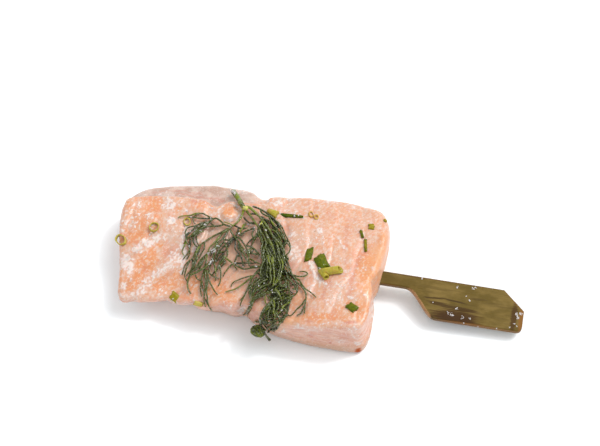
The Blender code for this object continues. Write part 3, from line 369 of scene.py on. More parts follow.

# Dill threads as the picture shows them, group by group. A group is drawn in a magnified part of the
# picture: its corner, its zoom, then each thread's radius, tone, height over the fish at its start and at
# its end, and path
# Some light tones stand for highlights running along a thread: painted highlights.
DILL_GROUPS = [
    ((235, 190), 20.9, [
        (0.78, 0.6, 0.9, 1.0, (-45, 15), (60, 165), (190, 375)),
        (0.72, 1.05, 0.9, 0.9, (160, 335), (205, 380), (262, 392)),
        (0.31, 0.6, 1.7, 2.2, (570, 610), (560, 690), (620, 810), (660, 930), (720, 1040), (780, 1160),
         (820, 1300), (850, 1420)),
        (0.29, 0.4, 1.3, 0.6, (700, 510), (740, 620), (800, 720), (870, 820), (960, 950), (1040, 1050),
         (1110, 1130), (1155, 1210), (1130, 1300), (1075, 1370), (1105, 1440), (1080, 1500)),
        (0.28, 0.5, 1.8, 1.2, (720, 815), (830, 860), (890, 920), (940, 1010), (980, 1120)),
        (0.27, 0.1, 0.9, 0.8, (320, 500), (420, 505), (500, 540), (580, 590)),
        (0.27, 0.15, 0.7, 0.5, (180, 570), (240, 640), (330, 700), (440, 720)),
        (0.27, 0.1, 0.8, 0.3, (400, 790), (280, 840), (180, 890), (130, 935)),
        (0.27, 0.15, 0.9, 0.4, (415, 800), (370, 880), (360, 960), (400, 1000), (470, 965)),
        (0.27, 0.1, 0.8, 0.2, (480, 960), (390, 1010), (310, 1060), (250, 1135)),
        (0.28, 0.3, 1.1, 0.3, (490, 880), (440, 980), (390, 1080), (350, 1165)),
        (0.28, 0.5, 0.3, 0.9, (330, 1450), (420, 1500), (520, 1545)),
        (0.34, 0.02, 0.6, 0.6, (300, 690), (370, 690), (440, 700)),
        (0.27, 0.1, 1.0, 0.7, (1105, 1060), (1060, 1130), (1030, 1185)),
        (0.22, 0.9, 1.8, 1.8, (505, 725), (560, 690), (575, 620)),
        (0.28, 0.2, 1.0, 0.8, (580, 590), (680, 640), (760, 700), (830, 790), (900, 900), (960, 1020)),
        (0.28, 0.1, 0.8, 0.7, (740, 560), (860, 700), (960, 830), (1010, 950), (1030, 1060)),
        (0.28, 0.3, 1.6, 1.6, (640, 900), (650, 1040), (640, 1180), (600, 1330), (590, 1480)),
        (0.28, 0.45, 1.7, 1.8, (800, 1000), (870, 1120), (920, 1250), (940, 1400), (980, 1540)),
        (0.28, 0.2, 1.5, 1.5, (520, 860), (560, 1000), (580, 1100), (550, 1230), (560, 1380), (580, 1540)),
        (0.28, 0.5, 1.9, 1.9, (660, 1240), (700, 1350), (760, 1460), (800, 1560)),
        (0.28, 0.35, 1.5, 1.2, (880, 1000), (950, 1100), (1010, 1230), (1050, 1370), (1070, 1520)),
    ]),
    ((250, 205), 22.4, [
        (0.43, 0.66, 0.9, 1.9, (-78, 38), (0, 66), (60, 112), (150, 200), (250, 300), (290, 350)),
        (0.35, 0.46, 1.9, 1.9, (290, 350), (370, 460), (430, 550), (500, 680), (570, 760), (650, 850),
         (720, 960)),
        (0.32, 0.5, 1.8, 2.0, (265, 400), (310, 490), (350, 570), (365, 640), (385, 700), (430, 800),
         (480, 900), (520, 1000), (560, 1100)),
        (0.25, 0.8, 1.8, 1.8, (275, 375), (240, 410), (215, 435)),
        (0.38, 0.58, 0.9, 1.6, (-110, 90), (-40, 180), (0, 230), (60, 310), (120, 400), (180, 480),
         (210, 520)),
        (0.28, 0.4, 1.6, 1.8, (210, 520), (240, 600), (300, 680), (345, 780), (400, 870)),
        (0.25, 0.3, 1.4, 0.7, (205, 530), (150, 650), (110, 720), (60, 850), (40, 900)),
        (0.29, 0.16, 1.2, 1.0, (60, 30), (200, 80), (330, 150), (420, 220), (480, 260), (560, 330),
         (640, 400), (700, 470), (740, 540), (770, 620), (810, 700), (850, 780), (890, 860), (905, 940),
         (890, 1020), (850, 1090), (820, 1110)),
        (0.28, 0.35, 1.3, 1.5, (230, 120), (280, 190), (350, 230), (420, 260), (450, 300), (480, 380),
         (540, 460), (590, 530), (600, 620)),
        (0.25, 0.5, 1.8, 1.6, (430, 540), (520, 570), (590, 610), (640, 680), (680, 740), (700, 830)),
        (0.22, 0.65, 1.7, 1.9, (470, 330), (500, 400), (560, 480), (620, 530)),
        (0.28, 0.15, 1.4, 1.2, (560, 340), (650, 430), (680, 520), (700, 620), (740, 700), (760, 760),
         (830, 790)),
        (0.25, 0.2, 1.2, 1.2, (830, 800), (780, 870), (760, 930)),
        (0.25, 0.3, 1.2, 1.2, (800, 1130), (850, 1180), (850, 1230), (830, 1270)),
        (0.27, 0.3, 1.9, 2.0, (400, 960), (440, 1040), (480, 1120), (540, 1180), (560, 1280)),
        (0.27, 0.24, 1.8, 1.9, (370, 960), (400, 1060), (430, 1150), (440, 1250), (450, 1400)),
        (0.26, 0.2, 1.6, 1.7, (320, 960), (290, 1050), (300, 1150), (310, 1230)),
        (0.25, 0.45, 1.9, 1.9, (340, 1080), (370, 1160), (390, 1260)),
        (0.28, 0.22, 1.9, 1.9, (600, 900), (620, 1000), (650, 1100), (680, 1200), (700, 1300)),
        (0.28, 0.18, 1.7, 1.6, (690, 960), (740, 1060), (760, 1160), (780, 1260), (800, 1340), (850, 1450),
         (900, 1540)),
        (0.26, 0.35, 1.9, 1.8, (700, 1130), (740, 1200), (760, 1280)),
        (0.26, 0.3, 0.9, 0.6, (90, 520), (60, 600), (50, 680), (80, 720), (0, 800)),
        (0.25, 0.3, 0.8, 0.8, (80, 730), (160, 700), (220, 680)),
        (0.27, 0.25, 1.5, 0.8, (330, 1270), (260, 1370), (190, 1450), (100, 1540)),
        (0.26, 0.35, 1.4, 1.2, (230, 1400), (240, 1480), (220, 1560)),
        (0.26, 0.45, 0.6, 1.2, (0, 1210), (80, 1250), (150, 1290), (220, 1320)),
        (0.26, 0.5, 0.6, 1.3, (0, 1390), (80, 1380), (150, 1370), (220, 1370)),
        (0.26, 0.25, 0.6, 1.1, (0, 1070), (80, 1090), (150, 1130)),
        (0.26, 0.3, 0.9, 1.3, (130, 1030), (180, 1090), (210, 1150)),
    ]),
    ((235, 255), 16.505, [
        (0.28, 0.3, 1.8, 1.8, (480, 0), (490, 80), (440, 180), (420, 280), (430, 340)),
        (0.29, 0.6, 2.0, 1.9, (540, 0), (560, 100), (590, 200), (580, 330), (600, 380)),
        (0.28, 0.62, 2.0, 1.8, (620, 0), (610, 120), (640, 220), (650, 330), (640, 440), (625, 520)),
        (0.28, 0.35, 1.9, 1.8, (700, 0), (720, 80), (750, 180), (720, 290), (690, 400), (640, 490)),
        (0.27, 0.58, 1.8, 1.8, (760, 60), (790, 150), (770, 250), (730, 350), (680, 430), (630, 500)),
        (0.26, 0.4, 1.5, 1.4, (830, 0), (880, 60), (860, 100)),
        (0.27, 0.3, 1.9, 1.9, (590, 0), (530, 100), (540, 200), (520, 300), (540, 380)),
        (0.28, 0.28, 1.6, 1.2, (800, 220), (850, 300), (870, 380), (950, 450), (1010, 500)),
        (0.28, 0.42, 1.9, 1.2, (560, 200), (580, 300), (600, 400), (560, 480), (480, 510), (400, 560),
         (330, 600), (300, 680)),
        (0.26, 0.4, 1.6, 1.2, (540, 400), (450, 440), (400, 500), (330, 560), (290, 640), (280, 700)),
        (0.26, 0.3, 1.5, 1.2, (500, 540), (430, 600), (380, 640), (330, 690), (290, 710)),
        (0.26, 0.35, 1.5, 1.1, (560, 600), (480, 650), (400, 690), (320, 720), (280, 740), (240, 790)),
        (0.27, 0.25, 1.3, 1.1, (350, 390), (300, 460), (270, 540), (260, 620), (290, 700), (300, 730)),
        (0.25, 0.3, 1.3, 1.0, (400, 420), (340, 470), (290, 530)),
        (0.26, 0.25, 1.5, 1.4, (560, 500), (500, 480), (470, 440), (450, 410)),
        (0.27, 0.3, 1.0, 0.4, (300, 740), (260, 800), (250, 860), (220, 920), (180, 970), (140, 980)),
        (0.26, 0.4, 1.0, 0.4, (300, 740), (280, 840), (240, 900), (210, 950), (205, 1000)),
        (0.27, 0.62, 1.7, 1.5, (660, 560), (720, 620), (750, 700), (770, 760)),
        (0.26, 0.35, 1.6, 1.5, (540, 640), (600, 620), (660, 620), (700, 640), (710, 690)),
        (0.26, 0.3, 1.5, 1.4, (530, 660), (560, 710), (620, 740), (700, 730), (760, 700)),
        (0.26, 0.35, 1.7, 1.6, (740, 470), (760, 510), (810, 520), (850, 490), (840, 440)),
        (0.27, 0.3, 1.6, 1.4, (870, 430), (890, 520), (900, 600), (880, 660)),
        (0.28, 0.22, 1.5, 1.1, (910, 400), (960, 470), (1000, 540), (1020, 600), (1000, 650), (930, 690),
         (860, 740), (800, 800)),
        (0.25, 0.4, 1.4, 1.2, (950, 560), (1000, 570), (1020, 600)),
        (0.27, 0.45, 1.6, 1.4, (700, 600), (780, 580), (850, 560), (900, 540)),
        (0.26, 0.35, 1.6, 1.4, (720, 660), (790, 640), (850, 600)),
        (0.27, 0.4, 1.5, 1.2, (760, 740), (830, 720), (900, 690), (960, 660)),
        (0.27, 0.3, 1.3, 1.1, (600, 850), (560, 930), (520, 1010), (500, 1080)),
        (0.29, 0.62, 1.4, 1.3, (640, 740), (650, 850), (630, 930), (660, 1000), (650, 1080)),
        (0.27, 0.4, 1.4, 1.1, (700, 760), (720, 840), (690, 920), (700, 1000), (740, 1080), (770, 1100)),
        (0.28, 0.6, 1.4, 1.2, (900, 780), (830, 820), (790, 860), (760, 920), (700, 980), (680, 1040)),
        (0.29, 0.12, 1.2, 0.9, (930, 700), (900, 800), (870, 900), (840, 1000), (790, 1080), (730, 1130),
         (700, 1210), (650, 1250)),
        (0.27, 0.35, 1.3, 1.1, (760, 770), (780, 860), (830, 900), (850, 950), (800, 1020)),
        (0.27, 0.35, 1.1, 1.1, (470, 1090), (520, 1130), (600, 1110), (680, 1080), (750, 1090)),
        (0.26, 0.3, 1.0, 1.0, (510, 1250), (560, 1190), (620, 1150), (680, 1110)),
        (0.26, 0.45, 1.0, 1.0, (600, 1160), (650, 1170), (700, 1140)),
        (0.26, 0.35, 1.0, 1.0, (540, 1280), (600, 1230), (660, 1230), (690, 1200)),
        (0.27, 0.4, 1.0, 1.0, (450, 1080), (500, 1180), (550, 1240), (560, 1280)),
        (0.24, 0.55, 0.8, 0.8, (320, 1105), (370, 1100), (410, 1110)),
    ]),
    ((222, 218), 26.13, [
        (0.3, 0.28, 1.2, 1.0, (340, 480), (430, 510), (500, 570), (550, 640), (600, 720), (640, 780),
         (660, 860), (680, 940)),
        (0.34, 0.58, 1.1, 0.9, (565, 170), (540, 250), (500, 310), (470, 380), (440, 445)),
        (0.32, 0.12, 1.0, 0.8, (430, 250), (420, 330), (390, 400), (370, 460)),
        (0.3, 0.38, 1.1, 1.0, (620, 130), (600, 190), (570, 240), (540, 290)),
        (0.3, 0.1, 0.8, 0.9, (500, 425), (560, 390), (620, 350), (680, 315), (760, 290)),
        (0.28, 0.3, 0.9, 0.9, (560, 290), (620, 268), (665, 258)),
        (0.29, 0.08, 1.1, 0.9, (960, 478), (880, 490), (820, 520)),
        (0.32, 0.25, 0.9, 0.9, (640, 715), (700, 740), (760, 750), (800, 780), (850, 820), (900, 870),
         (950, 930), (972, 985)),
        (0.33, 0.28, 0.9, 0.8, (430, 610), (450, 700), (490, 790), (540, 880), (580, 960), (620, 1040),
         (650, 1100), (690, 1180), (712, 1222)),
        (0.34, 0.3, 1.0, 0.9, (790, 770), (740, 830), (710, 900), (700, 980), (700, 1060), (700, 1140),
         (702, 1210), (722, 1262)),
        (0.3, 0.48, 1.1, 1.0, (725, 795), (682, 860), (660, 930), (690, 1010)),
        (0.3, 0.15, 0.7, 0.6, (440, 925), (385, 1010), (360, 1080), (332, 1150), (320, 1195)),
        (0.32, 0.12, 0.7, 0.6, (390, 985), (460, 990), (510, 1020), (525, 1090), (540, 1170), (552, 1245)),
        (0.3, 0.1, 0.6, 0.6, (430, 640), (425, 740), (445, 830), (500, 900), (480, 985)),
        (0.29, 0.15, 0.8, 0.8, (835, 795), (790, 870), (738, 910), (800, 925), (860, 932), (930, 962)),
        (0.32, 0.35, 1.2, 1.3, (940, 280), (958, 360), (962, 440), (1000, 530), (1040, 600), (1060, 680),
         (1050, 760), (1000, 805)),
        (0.3, 0.42, 1.5, 1.4, (1142, 560), (1150, 660), (1130, 740), (1065, 790), (1010, 812)),
        (0.3, 0.1, 1.0, 0.8, (310, 520), (250, 565), (180, 622), (100, 690), (0, 790)),
    ]),
    ((180, 208), 24.12, [
        (0.3, 0.4, 1.0, 0.5, (790, 270), (720, 330), (650, 390), (580, 450), (500, 500), (430, 550),
         (360, 620), (280, 680), (160, 742)),
        (0.29, 0.18, 0.8, 0.4, (640, 340), (560, 362), (500, 420), (430, 490), (390, 540), (330, 590),
         (280, 640), (230, 690)),
        (0.29, 0.08, 0.6, 0.4, (600, 452), (560, 490), (500, 520), (420, 590), (350, 660), (318, 712)),
        (0.28, 0.08, 0.7, 0.6, (525, 430), (445, 460), (400, 500), (378, 542)),
        (0.28, 0.1, 0.4, 0.3, (235, 582), (190, 612), (150, 652), (142, 720), (192, 770)),
        (0.27, 0.12, 0.4, 0.2, (252, 750), (250, 840), (250, 900), (240, 960), (222, 1025)),
        (0.31, 0.45, 1.0, 0.9, (1010, 612), (960, 700), (900, 800), (860, 880), (822, 950), (780, 1002)),
        (0.29, 0.5, 0.9, 0.6, (652, 1100), (642, 1200), (622, 1300), (598, 1372)),
        (0.28, 0.28, 0.7, 0.5, (592, 1190), (550, 1290), (510, 1390), (468, 1472)),
        (0.31, 0.1, 0.8, 0.7, (822, 1000), (832, 1100), (812, 1200), (822, 1262)),
        (0.28, 0.02, 0.4, 0.4, (765, 1040), (755, 1100), (735, 1165)),
        (0.27, 0.15, 0.8, 0.6, (940, 1010), (900, 1100), (870, 1200), (850, 1312)),
        (0.27, 0.25, 0.7, 0.6, (932, 1080), (1000, 1062), (1082, 1052)),
        (0.28, 0.12, 0.6, 0.5, (1052, 1090), (1000, 1150), (930, 1230), (862, 1310)),
        (0.3, 0.48, 0.9, 0.6, (1085, 840), (1120, 940), (1150, 1030), (1150, 1100), (1130, 1182)),
        (0.3, 0.22, 0.7, 0.4, (1082, 1180), (1040, 1250), (980, 1330), (930, 1390), (898, 1452)),
        (0.27, 0.32, 0.9, 0.8, (1022, 840), (960, 900), (900, 950), (860, 1002)),
        (0.31, 0.62, 0.9, 0.5, (478, 925), (420, 1010), (372, 1110), (335, 1180), (290, 1232)),
        (0.28, 0.15, 0.7, 0.4, (482, 960), (450, 1060), (402, 1150), (380, 1250), (340, 1330), (300, 1430),
         (240, 1532)),
        (0.28, 0.08, 0.4, 0.3, (302, 1250), (312, 1330), (322, 1420), (300, 1502)),
        (0.27, 0.52, 0.7, 0.4, (432, 1180), (382, 1300), (350, 1400), (330, 1472)),
    ]),
    ((235, 260), 18.45, [
        (0.42, 0.3, 2.0, 1.6, (683, 788), (566, 869), (493, 985), (463, 1100), (485, 1216), (533, 1315),
         (576, 1397), (633, 1487)),
        (0.28, 0.4, 0.9, 0.2, (500, 60), (460, 150), (400, 220), (340, 290), (270, 300), (160, 330),
         (60, 370), (-20, 405), (-60, 450), (-72, 495)),
        (0.28, 0.55, 0.9, 0.2, (320, 300), (260, 350), (180, 420), (80, 490), (-20, 545), (-115, 570),
         (-175, 590)),
        (0.3, 0.35, 1.0, 0.3, (480, 150), (400, 240), (330, 310), (270, 440), (210, 580), (150, 700),
         (110, 790), (95, 850)),
        (0.25, 0.4, 0.8, 0.2, (280, 430), (220, 560), (160, 670), (90, 750)),
        (0.3, 0.3, 1.2, 0.4, (420, 330), (340, 420), (280, 500), (265, 600), (290, 700), (310, 760),
         (250, 880), (200, 980), (150, 1012)),
        (0.3, 0.22, 1.2, 0.5, (560, 640), (440, 690), (350, 740), (290, 830), (240, 930), (230, 1020)),
        (0.29, 0.35, 1.5, 1.0, (560, 580), (460, 640), (380, 680), (330, 720)),
        (0.29, 0.25, 1.4, 1.0, (580, 510), (480, 570), (400, 640), (340, 700)),
        (0.29, 0.3, 1.4, 0.9, (540, 450), (500, 480), (420, 540), (360, 600), (310, 680)),
        (0.29, 0.15, 1.2, 0.8, (500, 400), (440, 440), (360, 500), (320, 580), (300, 660)),
        (0.27, 0.2, 1.2, 1.0, (460, 350), (435, 420), (470, 480), (540, 470), (560, 400)),
        (0.4, 0.45, 1.4, 1.0, (760, 700), (700, 740), (650, 790), (620, 870), (540, 950), (482, 1040),
         (470, 1150), (510, 1270), (560, 1370), (620, 1440), (655, 1475)),
        (0.28, 0.5, 1.6, 1.2, (690, 800), (720, 900), (740, 980), (730, 1060), (710, 1120)),
        (0.28, 0.2, 1.3, 1.0, (650, 880), (620, 980), (610, 1060), (600, 1120)),
        (0.3, 0.5, 2.0, 1.8, (870, 150), (830, 320), (770, 410), (690, 490)),
        (0.3, 0.6, 2.2, 1.9, (700, -60), (710, 120), (725, 300), (710, 430)),
        (0.28, 0.45, 1.9, 1.5, (730, 540), (800, 620), (850, 700), (860, 760)),
        (0.3, 0.3, 1.4, 1.1, (940, -40), (1000, 120), (1050, 260), (1120, 380), (1150, 480), (1150, 590),
         (1080, 660), (1030, 710)),
        (0.29, 0.2, 1.3, 1.2, (1040, 690), (980, 760), (900, 860), (850, 930)),
        (0.29, 0.25, 1.1, 1.0, (980, 1000), (920, 1060), (870, 1120), (820, 1140)),
        (0.29, 0.2, 1.1, 1.0, (990, 880), (960, 980), (880, 1100), (800, 1220), (760, 1290)),
        (0.27, 0.3, 1.5, 1.3, (830, 1100), (770, 1000), (700, 920)),
        (0.26, 0.25, 1.4, 1.4, (830, 360), (820, 430), (870, 470), (930, 440), (940, 370), (890, 340)),
        (0.27, 0.5, 0.8, 0.3, (1040, 270), (1150, 300), (1260, 302), (1330, 275), (1325, 232), (1265, 212),
         (1195, 216)),
        (0.29, 0.35, 0.9, 0.3, (1030, 260), (1130, 390), (1220, 480), (1290, 570), (1312, 680), (1300, 780),
         (1292, 860), (1280, 990)),
        (0.27, 0.45, 0.8, 0.3, (1090, 320), (1180, 370), (1240, 460), (1310, 540), (1400, 600), (1500, 690)),
        (0.26, 0.35, 0.5, 0.2, (1300, 720), (1240, 820), (1150, 900), (1090, 970), (1030, 1025),
         (960, 1018)),
        (0.25, 0.35, 0.4, 0.2, (1295, 830), (1250, 910), (1220, 980), (1140, 1022)),
        (0.22, 0.6, 0.3, 0.3, (350, 1142), (430, 1140), (490, 1150)),
        (0.22, 0.75, 0.8, 0.2, (565, 650), (550, 740), (580, 825)),
    ]),
    ((170, 200), 20.9, [
        (0.36, 0.6, 0.9, 1.0, (1545, 190), (1500, 330), (1440, 430), (1340, 520), (1210, 610)),
        (0.3, 0.45, 1.0, 1.0, (1210, 610), (1090, 700), (980, 830), (900, 920), (830, 985), (790, 1090)),
        (0.3, 0.4, 0.9, 0.3, (1230, 590), (1100, 660), (900, 760), (700, 890), (590, 980), (530, 1090),
         (470, 1220), (380, 1290), (310, 1370), (280, 1470), (250, 1570)),
        (0.28, 0.2, 0.9, 0.9, (1220, 640), (1130, 780), (1020, 880), (940, 960), (900, 1010)),
        (0.29, 0.35, 0.9, 0.3, (1260, 545), (1130, 510), (1060, 440), (960, 380), (900, 390), (780, 330),
         (680, 280), (560, 300), (490, 370), (490, 450), (530, 500)),
        (0.25, 0.7, 0.5, 0.2, (680, 280), (540, 280), (430, 320), (300, 330), (210, 345), (165, 375)),
        (0.28, 0.15, 0.7, 0.2, (900, 388), (780, 385), (640, 385), (500, 365), (360, 362)),
        (0.31, 0.4, 0.8, 0.7, (920, 385), (850, 430), (740, 500), (680, 570), (560, 650), (450, 740),
         (350, 810), (340, 860), (400, 970)),
        (0.29, 0.25, 0.7, 0.5, (1110, 520), (960, 550), (820, 550), (700, 590), (600, 640), (480, 720),
         (400, 790)),
        (0.25, 0.2, 0.6, 0.4, (850, 490), (900, 520), (960, 545)),
        (0.28, 0.25, 0.8, 0.3, (760, 455), (640, 490), (520, 540), (420, 560), (350, 600), (320, 680),
         (330, 760), (340, 850)),
        (0.27, 0.3, 1.0, 0.6, (740, 500), (640, 540), (560, 600), (540, 680), (520, 770)),
        (0.27, 0.45, 0.9, 0.5, (700, 650), (620, 680), (540, 740), (480, 800)),
        (0.27, 0.15, 0.6, 0.4, (560, 540), (480, 620), (400, 690), (350, 770), (320, 860), (285, 920)),
        (0.27, 0.25, 0.7, 0.2, (420, 810), (420, 900), (400, 980), (410, 1040), (360, 1130), (310, 1190),
         (280, 1240)),
        (0.26, 0.3, 0.5, 0.2, (400, 970), (415, 1040), (410, 1130), (380, 1200), (350, 1235)),
        (0.24, 0.55, 0.5, 0.2, (345, 860), (290, 980), (255, 1070), (270, 1130), (300, 1165)),
        (0.27, 0.25, 0.6, 0.4, (480, 790), (490, 870), (530, 950), (590, 985)),
        (0.26, 0.2, 0.5, 0.3, (550, 760), (560, 860), (600, 960)),
        (0.26, 0.3, 0.6, 0.4, (720, 890), (720, 1000), (680, 1080), (640, 1150), (610, 1220)),
        (0.29, 0.35, 0.8, 0.5, (640, 940), (600, 1040), (560, 1110), (540, 1200), (490, 1300), (470, 1380),
         (440, 1470), (390, 1560)),
        (0.3, 0.3, 1.0, 0.8, (1030, 870), (960, 960), (900, 1040), (790, 1110), (720, 1170), (650, 1240),
         (610, 1300), (560, 1380), (500, 1480)),
        (0.3, 0.35, 1.1, 0.9, (1000, 930), (940, 1030), (920, 1130), (900, 1200), (880, 1260), (820, 1340),
         (740, 1400), (640, 1460)),
        (0.27, 0.45, 0.9, 0.5, (895, 1240), (920, 1320), (930, 1400), (945, 1480)),
        (0.28, 0.45, 0.9, 0.8, (1215, 640), (1180, 700), (1130, 830), (1160, 940), (1190, 1030),
         (1190, 1165)),
        (0.3, 0.4, 1.0, 1.0, (1250, 610), (1300, 700), (1350, 770), (1420, 860), (1490, 960), (1560, 1050),
         (1620, 1140)),
        (0.27, 0.12, 0.7, 0.4, (1330, 765), (1230, 860), (1150, 960), (1060, 1040), (1000, 1120),
         (960, 1200)),
        (0.27, 0.1, 0.6, 0.3, (1345, 815), (1260, 900), (1200, 990), (1150, 1070), (1010, 1125)),
        (0.27, 0.08, 0.8, 0.4, (1350, 790), (1370, 900), (1360, 1020), (1420, 1100), (1440, 1135)),
        (0.27, 0.2, 0.7, 0.4, (1130, 870), (1050, 960), (1010, 1050), (1000, 1150), (940, 1290)),
        (0.26, 0.12, 0.5, 0.4, (1140, 1070), (1080, 1150), (1010, 1230), (935, 1295)),
        (0.29, 0.5, 0.7, 0.3, (1120, 1160), (1200, 1240), (1290, 1310), (1360, 1400), (1400, 1455)),
        (0.25, 0.12, 0.4, 0.2, (1160, 1270), (1110, 1350), (1060, 1395)),
        (0.27, 0.2, 0.6, 0.4, (1120, 1170), (1060, 1260), (1030, 1330), (1000, 1430), (960, 1500)),
        (0.26, 0.08, 0.7, 0.7, (1130, 832), (1230, 832), (1330, 770)),
        (0.29, 0.12, 0.9, 0.6, (1430, 570), (1425, 680), (1480, 745), (1535, 680), (1575, 640)),
        (0.22, 0.8, 0.6, 0.4, (1400, 560), (1300, 520), (1200, 480), (1125, 458)),
        (0.27, 0.1, 0.8, 0.8, (1340, 530), (1420, 570), (1500, 600), (1570, 600)),
    ]),
    ((170, 255), 20.9, [
        (0.27, 0.35, 0.5, 0.2, (420, 100), (370, 210), (330, 320), (310, 420), (330, 500), (352, 548)),
        (0.28, 0.2, 0.6, 0.3, (480, 130), (480, 220), (440, 310), (390, 380), (340, 430)),
        (0.38, 0.52, 1.3, 0.2, (860, 130), (800, 195), (740, 260), (640, 310), (560, 360), (480, 390),
         (410, 440), (380, 520), (362, 600), (372, 680), (400, 760), (437, 808)),
        (0.28, 0.25, 0.9, 0.5, (560, 80), (520, 160), (490, 250), (440, 320), (370, 392)),
        (0.28, 0.3, 0.9, 0.6, (640, 90), (620, 200), (560, 290), (480, 330), (400, 402)),
        (0.28, 0.3, 0.9, 0.7, (720, 20), (680, 120), (640, 200), (620, 285)),
        (0.28, 0.25, 1.0, 0.7, (770, 110), (740, 200), (700, 270)),
        (0.29, 0.28, 0.9, 0.2, (730, 290), (700, 380), (672, 460), (655, 560), (640, 660), (640, 760),
         (660, 868)),
        (0.3, 0.38, 1.0, 0.2, (740, 300), (738, 440), (752, 560), (742, 680), (722, 780), (718, 880),
         (718, 980), (742, 1085)),
        (0.3, 0.3, 1.0, 0.2, (770, 310), (792, 420), (785, 560), (772, 680), (760, 780), (780, 880),
         (790, 990), (820, 1090), (875, 1168)),
        (0.27, 0.4, 0.7, 0.2, (790, 440), (830, 560), (880, 660), (922, 740), (995, 835)),
        (0.25, 0.25, 0.5, 0.3, (670, 560), (690, 700), (722, 800)),
        (0.25, 0.2, 0.4, 0.2, (745, 930), (790, 1045)),
        (0.27, 0.3, 0.7, 0.2, (850, 200), (820, 300), (830, 380), (880, 430), (960, 470), (1025, 492)),
        (0.26, 0.5, 0.7, 0.2, (900, 140), (940, 230), (950, 340), (960, 430), (948, 545)),
        (0.27, 0.2, 0.6, 0.2, (1050, 150), (1010, 250), (960, 320), (900, 390), (875, 425)),
        (0.27, 0.22, 0.7, 0.3, (1140, 90), (1060, 180), (1000, 265)),
        (0.28, 0.45, 0.6, 0.2, (1030, 190), (1042, 260), (1062, 360), (1062, 460), (1050, 560), (1008, 652)),
        (0.26, 0.12, 0.4, 0.2, (1168, 120), (1120, 200), (1065, 248)),
        (0.26, 0.35, 0.4, 0.2, (1300, 190), (1220, 270), (1170, 340), (1130, 400), (1112, 458)),
        (0.28, 0.3, 0.4, 0.9, (1365, 195), (1440, 250), (1520, 290), (1600, 290), (1720, 270), (1790, 270),
         (1900, 230)),
        (0.28, 0.12, 0.4, 0.8, (1370, 165), (1440, 175), (1568, 165), (1700, 170), (1840, 165)),
        (0.25, 0.3, 0.5, 0.2, (535, 420), (560, 490), (620, 528), (655, 530)),
        (0.27, 0.15, 0.7, 0.5, (1510, 130), (1530, 200), (1560, 230)),
    ]),
]
# The bundle's parts in the picture: places along each with their half width, in pixels
BUNDLE_MAIN = [(263, 216, 7), (268, 226, 11), (272.5, 238, 12.5), (272.5, 247, 12), (273.7, 257, 12),
               (274.8, 265, 13), (275.1, 275, 16), (275.5, 282, 18.5)]
BUNDLE_RIGHT = [(274.5, 268, 13), (276, 276, 16), (279, 284, 16), (281, 291, 15), (280, 298, 12),
                (279.5, 303.5, 10), (277, 309, 11), (274.6, 314, 12.5), (271.6, 319.6, 10.5),
                (270, 325, 9.2), (267.5, 330.5, 8)]
BUNDLE_LEFT = [(268, 270, 6), (263, 277, 7.5), (260, 284, 8.2), (258.5, 290.5, 8.4), (254.7, 297, 4.0),
               (251.8, 303.5, 2.0), (249, 309, 1.8), (246.5, 314, 1.0)]
# Loose threads in each part: how many, steps of the spine they span, wander across, layer, radius
BUNDLE_FILL = [
    (BUNDLE_MAIN, 26, (24, 44), 0.2, (0.1, 1.3), 0.24),
    (BUNDLE_MAIN[2:], 34, (12, 28), 0.2, (0.1, 1.4), 0.24),
    (BUNDLE_MAIN[2:], 34, (8, 14), 0.5, (0.2, 1.5), 0.21),
    (BUNDLE_RIGHT, 38, (7, 16), 0.5, (0.1, 1.3), 0.22),
    (BUNDLE_RIGHT, 18, (12, 26), 0.25, (0.1, 1.1), 0.24),
    (BUNDLE_LEFT, 11, (5, 12), 0.9, (0.2, 1.2), 0.22),
]
# A loose thread: how far out it may lie, how far it drifts, how often it turns, how high its part's rim
# is, how it ripples, and how low it may lie
BUNDLE_EDGE = 0.92
BUNDLE_DRIFT = 2.0
BUNDLE_TURNS = (0.6, 1.6)
BUNDLE_RIM = 0.35
BUNDLE_RIPPLE = 0.25
BUNDLE_LOWEST = 0.05
# Tones that it may have, from dark to light, and how much lighter the upper layer and the bundle's top are
BUNDLE_TONES = (0.0, 0.02, 0.06, 0.12, 0.25)
# The lower layer is kept darker than the upper one: painted shade.
BUNDLE_LIGHTER = (0.12, 0.2)
# The ball of curled threads that hangs at the bundle's foot
BALL = {"at": (257.8, 331.2), "radius": 1.9, "threads": 100, "squash": (1.15, 0.9, 0.95), "off": 0.75,
        "reach": (0.72, 1.0), "arc": (1.5, 4.0), "points": 10, "radii": (0.22, 0.14), "tone": (0.25, 0.7)}
# A random angle is up to this, in radians
FULL_TURN = 6.3
# Where what is drawn beside the fish lies: in front of its front edge, or at its back edge's height
HANG_Y = -20.6
MISSED_Z = 12.0
# A lift along the ray isn't stretched more than this on steep ground
LEAST_SLOPE = 0.4
# Threads: sides, how far their middle arches up, the radius that makes one a stem, how thick the tip of a
# stem and of any other is, how the taper bends, and how thick the start is
THREAD_SIDES = 5
THREAD_ARCH = 0.3
STEM_RADIUS = 0.5
STEM_TIP = 0.97
THREAD_TIP = 0.6
THREAD_TAPER = 1.5
THREAD_START = 0.8
# Colours of the dill by tone
LEAF_TONES = [(0.0, (24, 32, 0)), (0.4, (76, 86, 2)), (0.7, (132, 143, 36)), (1.0, (226, 218, 110))]
SEED = 18
